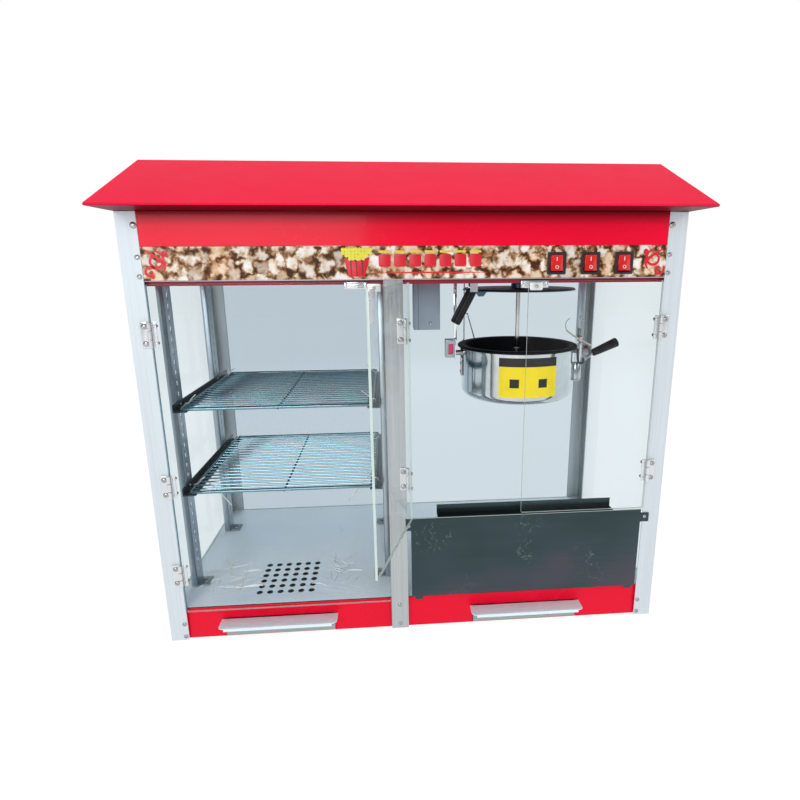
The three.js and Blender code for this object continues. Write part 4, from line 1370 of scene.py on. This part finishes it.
def make_kettle_pot():
    """The black pot, hung in the shell by its rolled rim."""
    rim, top, inner, floor = KETTLE["rim_radius"], KETTLE["rim"], 98, 402
    profile = [(0, floor - 2), (inner - 12, floor - 2), (inner - 4, floor), (inner + 2, floor + 10)]
    profile += [(inner + 4, top - 8), (inner + 6, top - 5), (rim - 3, top - 5)]
    profile += [
        (rim - 2.5 + 2.5 * math.cos(a), top - 2.5 + 2.5 * math.sin(a))
        for a in (-1.57, -0.9, -0.3, 0.3, 0.9, 1.57)
    ]
    profile += [(inner + 5, top), (inner + 2.4, top - 0.8), (inner + 1.6, top - 3)]
    profile += [(inner, floor + 13), (inner - 3, floor + 5), (inner - 9, floor + 1), (inner - 14, floor)]
    pot = Piece("cooking_pot", "kettle", "non_stick", "kettle_pot")
    pot.take(turned([*profile, (0, floor)], 128), "non_stick", AT_KETTLE)
    pot.done()


def make_stirrer():
    """Scraper blades on a hub and a stub shaft."""
    (_, _, z0), (_, _, z1) = limits("agitator")
    x, y = KETTLE["x"], KETTLE["y"]
    stirrer = Piece("stirrer_blades", "stirrer", "steel", "agitator")
    stirrer.take(rod(z1 - z0 - 1, 5.5, 0.8), "screw", Matrix.Translation((x, y, z0 + 1)))
    hub = [(0, z0), (11, z0), (11, z0 + 10), (8, z0 + 15), (6, z0 + 16), (0, z0 + 16)]
    stirrer.take(turned(hub, 40), "screw", AT_KETTLE)
    long_blade = rounded([(x - 82, z0), (x + 82, z0), (x + 78, z0 + 9), (x - 78, z0 + 9)], 3)
    stirrer.take(plate([long_blade], y - 2, y + 2, "Y", 0.6), "screw")
    short_blade = rounded([(y - 60, z0), (y + 60, z0), (y + 57, z0 + 7), (y - 57, z0 + 7)], 2)
    stirrer.take(plate([short_blade], x - 2, x + 2, "X", 0.6), "screw")
    stirrer.done()


def make_shaft():
    """The drive shaft, a plain round bar with chamfered ends."""
    (_, _, z0), (_, _, z1) = limits("drive_shaft")
    shaft = Piece("stirrer_shaft", "shaft", "steel", "drive_shaft")
    profile = [(0, z0), (3.2, z0), (4, z0 + 0.8), (4, z1 - 1), (3, z1), (0, z1)]
    shaft.take(turned(profile, 40), "shaft", AT_KETTLE)
    shaft.done()


def make_lid():
    """The spun lid under the ceiling, with a rolled edge, a collar and the lever's tab."""
    (_, _, z0), (_, _, z1) = limits("kettle_lid")
    radius, bore = 106, 5
    profile = [(bore, z0 + 1.6), (60, z0 + 2.6), (radius - 5, z0 + 2.4), (radius - 2.2, z0 + 0.2)]
    profile += [(radius - 0.8, z0), (radius, z0 + 0.9), (radius - 0.8, z0 + 2.2), (radius - 2.6, z0 + 3.9)]
    profile += [(60, z0 + 4.1), (14, z0 + 4.6), (13.4, z1), (bore, z1)]
    lid = Piece("spun_lid", "lid", "steel", "kettle_lid")
    lid.take(turned(profile, 128, closed=True), "lid", AT_KETTLE)
    tab = rounded([(112, z0 + 0.5), (117, z0 - 7), (126, z0 - 7), (132, z0 + 0.5)], 1.5)
    lid.take(plate([tab], -101, -99, "Y", 0.4), "lid")
    bracket = rectangle(110, -104, 150, -84, 3)
    lid.take(plate([bracket], z0 + 0.4, z0 + 2, "Z", 0.3), "lid")
    lid.done()


def grip_profile(length, start, end, cap=0.35):
    """A grip along Z that widens from start to end and closes in a soft dome."""
    profile = [(0, 0), (start * 0.72, 0), (start * 0.95, length * 0.03), (start, length * 0.07)]
    for t in (0.3, 0.55, 0.8, 0.92):
        profile.append((start + (end - start) * t, length * t * 0.97))
    for a in (0.35, 0.75, 1.1, 1.35):
        profile.append((end * math.cos(a) ** cap, length * 0.93 + length * 0.07 * math.sin(a)))
    profile.append((0, length))
    return profile


def make_handle():
    """The tipping handle: a hub clamped on the trunnion, a bent steel stem and a black grip."""
    y, z = KETTLE["y"], KETTLE["pivot"]
    handle = Piece("tipping_handle", "kettle", "black_plastic", "kettle_handle")
    ring = turned([(5.4, 0), (9, 0), (10, 1), (10, 10), (9, 11), (5.4, 11)], 40, closed=True)
    handle.take(ring, "screw", facing((339, y, z), (1, 0, 0)))
    handle.take(block((341, y - 3.4, z - 21), (348, y + 3.4, z - 8), 1), "screw")
    stem = rounded([(344, y, z - 18), (352, y, z - 14), (361, y, z - 5.5), (366, y, z - 3.3)], 6, closed=False)
    handle.take(swept(stem, 3, 14), "screw")
    start, end = Vector((360, y, z - 6)), Vector((410, y, z + 16))
    grip = turned(grip_profile((end - start).length, 7.5, 9.5), 72, flutes=10, depth=0.07)
    handle.take(grip, "black", facing(start, end - start))
    handle.take(screw((344.5, y - 3.4, z - 14), (0, -1, 0), 2.4), "screw")
    handle.done(30)


def make_lever():
    """The lever that works the lid: an eye on the bracket's pin and a ribbed grip."""
    pivot = Vector((108, -100, 594))
    lean = Vector((-0.465, 0, -0.885))
    lever = Piece("lid_lever", "lever", "black_plastic", "lift_lever")
    eye = turned([(2.9, -9), (5, -9), (5.5, -8.4), (5.5, 8.4), (5, 9), (2.9, 9)], 32, closed=True)
    lever.take(eye, "screw", facing(pivot, (0, 1, 0)))
    grip = turned(grip_profile(65, 9, 9, 0.25), 84, flutes=14, depth=0.1)
    lever.take(grip, "black", facing(pivot + lean * 3.5, lean))
    lever.done(30)


# ------------------------------------------------------------------ what carries the kettle
def make_hangers():
    """The straps that carry the trunnions, with their bearings, screws and small fittings."""
    y, pivot = KETTLE["y"], KETTLE["pivot"]
    _, (_, _, top) = limits("hanger_left")
    left = Piece("left_hanger", "cabinet", "chrome", "hanger_left")
    left.take(block((84, y - 2, pivot + 24), (90, y + 2, top), 0.5), "chrome")
    bearing = [rectangle(y - 14, pivot - 12, y + 14, pivot + 30, 4), circle(y, pivot, 5.4, 24)]
    left.take(plate(bearing, 85.2, 87, "X", 0.4), "chrome")
    left.take(block((74, y - 14, top - 2), (100, y + 14, top), 0.5), "chrome")
    cover = rounded([(68, pivot - 6), (85, pivot - 8), (85, pivot + 26), (68, pivot + 26)], 2)
    window = rectangle(73, pivot - 1, 82.5, pivot + 19, 1.5)
    left.take(plate([cover, window], y - 13, y - 11.5, "Y", 0.4), "steel_z")
    left.take(block((68, y - 12, pivot + 24.5), (85, y + 13, pivot + 26), 0.4), "steel_z")
    left.take(block((68, y - 12, pivot - 8), (85, y + 13, pivot - 6.5), 0.4), "steel_z")
    left.take(block((68, y - 12, pivot - 7), (69.4, y + 13, pivot + 25), 0.4), "steel_z")
    left.take(block((72, y - 10.8, pivot - 3), (83.6, y - 9.2, pivot + 21), 0.3), "insert")
    left.take(swept([(101.5, y - 20, top), (101.5, y - 20, 497), (99, y - 17, 493)], 1.3, 10), "screw")
    left.take(swept([(107, y - 24, 545), (123, y - 8, 497)], 1.1, 10), "screw")
    left.take(swept([(101.5, y - 20, 546), (107, y - 24, 545)], 1.1, 10), "screw")
    left.done()
    right = Piece("right_hanger", "cabinet", "chrome", "hanger_right")
    right.take(block((328, y - 2.5, pivot + 24), (340, y + 2.5, top), 0.6), "steel_z")
    bearing = [rectangle(y - 14, pivot - 28, y + 14, pivot + 30, 4), circle(y, pivot, 5.4, 24)]
    right.take(plate(bearing, 330, 334, "X", 0.4), "chrome")
    right.take(block((322, y - 14, top - 2), (352, y + 14, top), 0.5), "chrome")
    for spot, x in ((533, 331.5), (527, 336.5)):
        right.take(screw((x, y - 2.5, spot), (0, -1, 0), 2.6), "screw")
    cup = [(0, 409), (10.4, 409), (11.5, 410), (11.5, 440), (10.6, 443), (8, 444), (0, 444)]
    right.take(turned(cup, 48), "kettle", Matrix.Translation((327.5, y, 0)))
    for height in (412, 441):
        ring = [(11.4, height - 1), (12, height), (11.4, height + 1)]
        right.take(turned(ring, 48, closed=True), "screw", Matrix.Translation((327.5, y, 0)))
    hook = [(326, 474), (325.6, 462), (326.5, 449), (332, 443), (338, 447), (337, 455)]
    hook = rounded([(x, y - 16, z) for x, z in hook], 6, closed=False)
    right.take(swept(hook, 2.1, 12), "dark_metal")
    right.take(block((323.8, y - 15.5, 466), (329.5, y - 12, 484), 0.8), "screw")
    spring = [
        (327.8 + 3 * math.cos(t * 0.7), y - 12 + 3 * math.sin(t * 0.7), 487 + t * 0.42)
        for t in range(62)
    ]
    right.take(swept(spring, 0.8, 8), "screw")
    right.done()
    tie = Piece("cable_tie", "cabinet", "chrome")
    line = [(299, 511), (313, 500), (330, 491), (352, 479)]
    path = rounded([(x, y - 19, z) for x, z in line], 8, closed=False)
    tie.take(swept(path, [1.4 + 0.5 * (i % 2) * 0.4 for i in range(len(path))], 10), "beige")
    loop = [(300, 510), (297, 520), (300, 529), (306, 533)]
    path = rounded([(x, y - 18, z) for x, z in loop], 6, closed=False)
    tie.take(swept(path, 0.55, 8), "dark_metal")
    tie.take(block((325, y - 21, 489), (331, y - 17, 496), 0.8), "beige")
    tie.done()


def make_duct():
    """The cable duct that comes down beside the kettle."""
    (x0, y0, z0), (x1, y1, z1) = limits("wire_duct")
    duct = Piece("cable_duct", "cabinet", "grey_blue_paint", "wire_duct")
    duct.take(plate([rectangle(x0, y0, x1, y1, 2.5)], z0, z1, "Z", 0.5), "grey_blue")
    duct.take(block((x0 + 8, y0 - 0.25, z0 + 0.4), (x0 + 8.6, y0 + 1, z1 - 0.4), 0.1), "black")
    duct.take(screw((x0 + 30, y0, z0 + 12), (0, -1, 0), 2.8), "screw")
    duct.done()


# ------------------------------------------------------------------ switches and the printed panel
SWITCH = {"width": 30, "height": 34, "rocker": 19, "rocker_height": 24, "tilt": 7}
SWITCH_XS = (223, 277, 331)
SWITCH_Z = 635
PANEL_FRONT = -200


def make_switches():
    """Three bezels clipped through the panel, and their rockers with off and on marks."""
    w, h = SWITCH["width"] / 2, SWITCH["height"] / 2
    rw, rh = SWITCH["rocker"] / 2, SWITCH["rocker_height"] / 2
    bezels = Piece("switch_bezels", "cabinet", "black_plastic", "switch_housings")
    for x in SWITCH_XS:
        rim = rectangle(x - w, SWITCH_Z - h, x + w, SWITCH_Z + h, 1.6)
        pocket = rectangle(x - rw - 0.6, SWITCH_Z - rh - 1.2, x + rw + 0.6, SWITCH_Z + rh + 1.2, 0.8)
        bezels.take(plate([rim, pocket], PANEL_FRONT - 2, PANEL_FRONT - 0.3, "Y", 0.6), "bezel")
        body = rectangle(x - w + 2, SWITCH_Z - h + 2, x + w - 2, SWITCH_Z + h - 2, 1)
        bezels.take(plate([body, pocket], PANEL_FRONT - 0.8, PANEL_FRONT + 9, "Y", 0.3), "bezel")
        bezels.take(plate([body], PANEL_FRONT + 8, PANEL_FRONT + 22, "Y", 0.5), "bezel")
    low, high = SWITCH_XS[0] - 5, SWITCH_XS[-1] + 5
    bar = ((low, PANEL_FRONT + 17, SWITCH_Z - 6), (high, PANEL_FRONT + 22, SWITCH_Z + 6))
    bezels.take(block(*bar, 0.6), "bezel")
    bezels.done()
    for i, x in enumerate(SWITCH_XS):
        place = Matrix.Translation((x, PANEL_FRONT + 0.5, SWITCH_Z)) @ Matrix.Rotation(
            math.radians(-SWITCH["tilt"]), 4, "X"
        )
        rocker = Piece(f"switch_rocker_{i + 1}", f"switch_{i + 1}", "red_plastic", f"rocker_{i + 1}", place=place)
        face = [(-5.2, rh), (-4.3, rh * 0.6), (-3.7, rh * 0.3), (-3.4, 0)]
        face += [(u, -v) for u, v in reversed(face[:-1])]
        outline = [(5, rh), *face, (5, -rh)]
        rocker.take(plate([[Vector(p) for p in outline]], -rw, rw, "X", 0.7), "rocker")
        lean = math.radians(8)
        bar = block((-0.6, -0.2, -3), (0.6, 0.2, 3), 0.1)
        rocker.take(bar, "white", Matrix.Translation((0, -4.25, 6.2)) @ Matrix.Rotation(lean, 4, "X"))
        ring = turned([(1.9, -0.2), (2.8, -0.2), (2.8, 0.2), (1.9, 0.2)], 32, closed=True)
        spot = Matrix.Translation((0, -4.25, -6.2)) @ Matrix.Rotation(math.pi / 2 - lean, 4, "X")
        rocker.take(ring, "white", spot)
        rocker.done(50)


def curl(x, z, size, start, turns, flip):
    """A plain scroll: a spiral strip that thins towards its middle."""
    steps = 26
    path = []
    for i in range(steps + 1):
        t = i / steps
        angle = start + flip * turns * 2 * math.pi * t
        radius = size * (1 - 0.78 * t)
        path.append((x + radius * math.cos(angle), z + radius * math.sin(angle)))
    widths = [4.2 * (1 - 0.45 * abs(2 * i / steps - 0.8)) for i in range(steps + 1)]
    return ribbon(path, widths, PANEL_FRONT - 0.3)


def make_panel_ornaments():
    """Plain scrolls, a tub of popcorn, a row of blocks and a rule on the printed panel."""
    front = PANEL_FRONT - 0.3
    art = Piece("panel_ornaments", "cabinet", "print_panel")
    for side in (-1, 1):
        art.take(curl(side * 380, 642, 14, 1.6, 1.3, side), "ornament")
        art.take(curl(side * 389, 625, 9, 0.6, 1.1, -side), "ornament")
        stem = [(side * (393 - 26 * math.sin(t * 0.35)), 656 - 5 * t) for t in range(7)]
        art.take(ribbon(stem, [2, 3.4, 4.6, 5, 4.6, 3.4, 2], front - 0.05), "ornament")
        for x, z, radius in ((366, 652, 4.4), (368, 640, 3.4), (386, 619, 3)):
            art.take(plate([circle(side * x, z, radius, 18)], front - 0.1, front + 0.2, "Y", 0.1), "ornament")
    tub = rounded([(-105, 645), (-99, 617), (-74, 617), (-66, 646), (-86, 640)], 1.5)
    art.take(plate([tub], front, front + 0.25, "Y", 0.1), "ornament")
    for x0, x1 in ((-96.5, -94.5), (-88, -86.4), (-79.5, -77)):
        stripe = [(x0, 643), (x0 + 1.6, 617.6), (x0 + 2.8, 617.6), (x1 + 0.4, 642)]
        art.take(plate([[Vector(p) for p in stripe]], front - 0.12, front + 0.1, "Y", 0.05), "ornament_line")
    for row, (count, z) in enumerate(((9, 657), (9, 652.4), (7, 648), (5, 643.6))):
        for k in range(count):
            x = -86 + (k - (count - 1) / 2) * 5.1 + SEED.uniform(-0.5, 0.5)
            puff = rivet((x, front + 0.2, z + SEED.uniform(-0.6, 0.6)), (0, -1, 0), 3.0)
            puff.transform(
                Matrix.Translation((0, front + 0.2, 0))
                @ Matrix.Diagonal((1, 0.35, 1, 1))
                @ Matrix.Translation((0, -front - 0.2, 0))
            )
            art.take(puff, "kernel")
    count, start, pitch, width = 7, -53, 23.2, 18.5
    for i in range(count):
        x = start + i * pitch
        art.take(plate([rectangle(x, 631, x + width, 650, 4)], front, front + 0.25, "Y", 0.1), "ornament")
        cap = rectangle(x + 0.5, 652, x + width - 0.5, 655.5, 1)
        art.take(plate([cap], front, front + 0.25, "Y", 0.1), "ornament_gold")
    rule = [(-67 + 181 * t / 12, 622 + 0.6 * math.sin(t * 0.26)) for t in range(13)]
    widths = [0.5 + 1.8 * math.sin(math.pi * t / 12) for t in range(13)]
    art.take(ribbon(rule, widths, front), "ornament")
    art.done()
    trim = Piece("panel_trim", "cabinet", "print_panel")
    (x0, _, z0), (x1, _, _) = limits("control_panel")
    trim.take(block((x0, PANEL_FRONT - 0.7, z0 - 0.2), (x1, PANEL_FRONT + 1.6, z0 + 1.3), 0.4), "aluminium_x")
    trim.done()


def make_inlet_pins():
    """The three pins in the mains inlet at the back."""
    pins = Piece("inlet_pins", "cabinet", "steel")
    for x, z in ((345, 650), (355, 650), (350, 656)):
        pins.take(block((x - 0.8, 186, z - 2), (x + 0.8, 196, z + 2), 0.4), "screw")
    pins.done()


# ------------------------------------------------------------------ the whole machine
make_camera()
make_world()
make_floor()
area_light("key", (-0.9, -2.6, 1.15), (0, 0, 0.4), (1.6, 1.2), 23)
area_light("fill", (1.9, -1.7, 1.3), (0.1, 0, 0.4), (1.0, 1.6), 7)
area_light("top", (0, 0.2, 2.8), (0, 0, 0.5), (2.4, 1.8), 16)
area_light("rear", (-0.2, 2.2, 1.3), (0, 0, 0.3), (2.0, 1.4), 46, False)

FINISHES = make_finishes()
SCREW = screw_mesh()
dress_cad_parts()
make_roof()
make_post_screws()
make_floors()
make_panes()
make_hinges()
make_catches()
make_baffle()
for side_name in SIDES:
    make_drawer(side_name)
    make_rack(side_name)
for door_name in DOORS:
    make_door(door_name)
for level_name in SHELVES:
    make_shelf(level_name)
make_lamp()
make_kettle_shell()
make_kettle_pot()
make_stirrer()
make_shaft()
make_lid()
make_handle()
make_lever()
make_hangers()
make_duct()
make_switches()
make_panel_ornaments()
make_inlet_pins()

bpy.context.scene.view_settings.view_transform = "Standard"
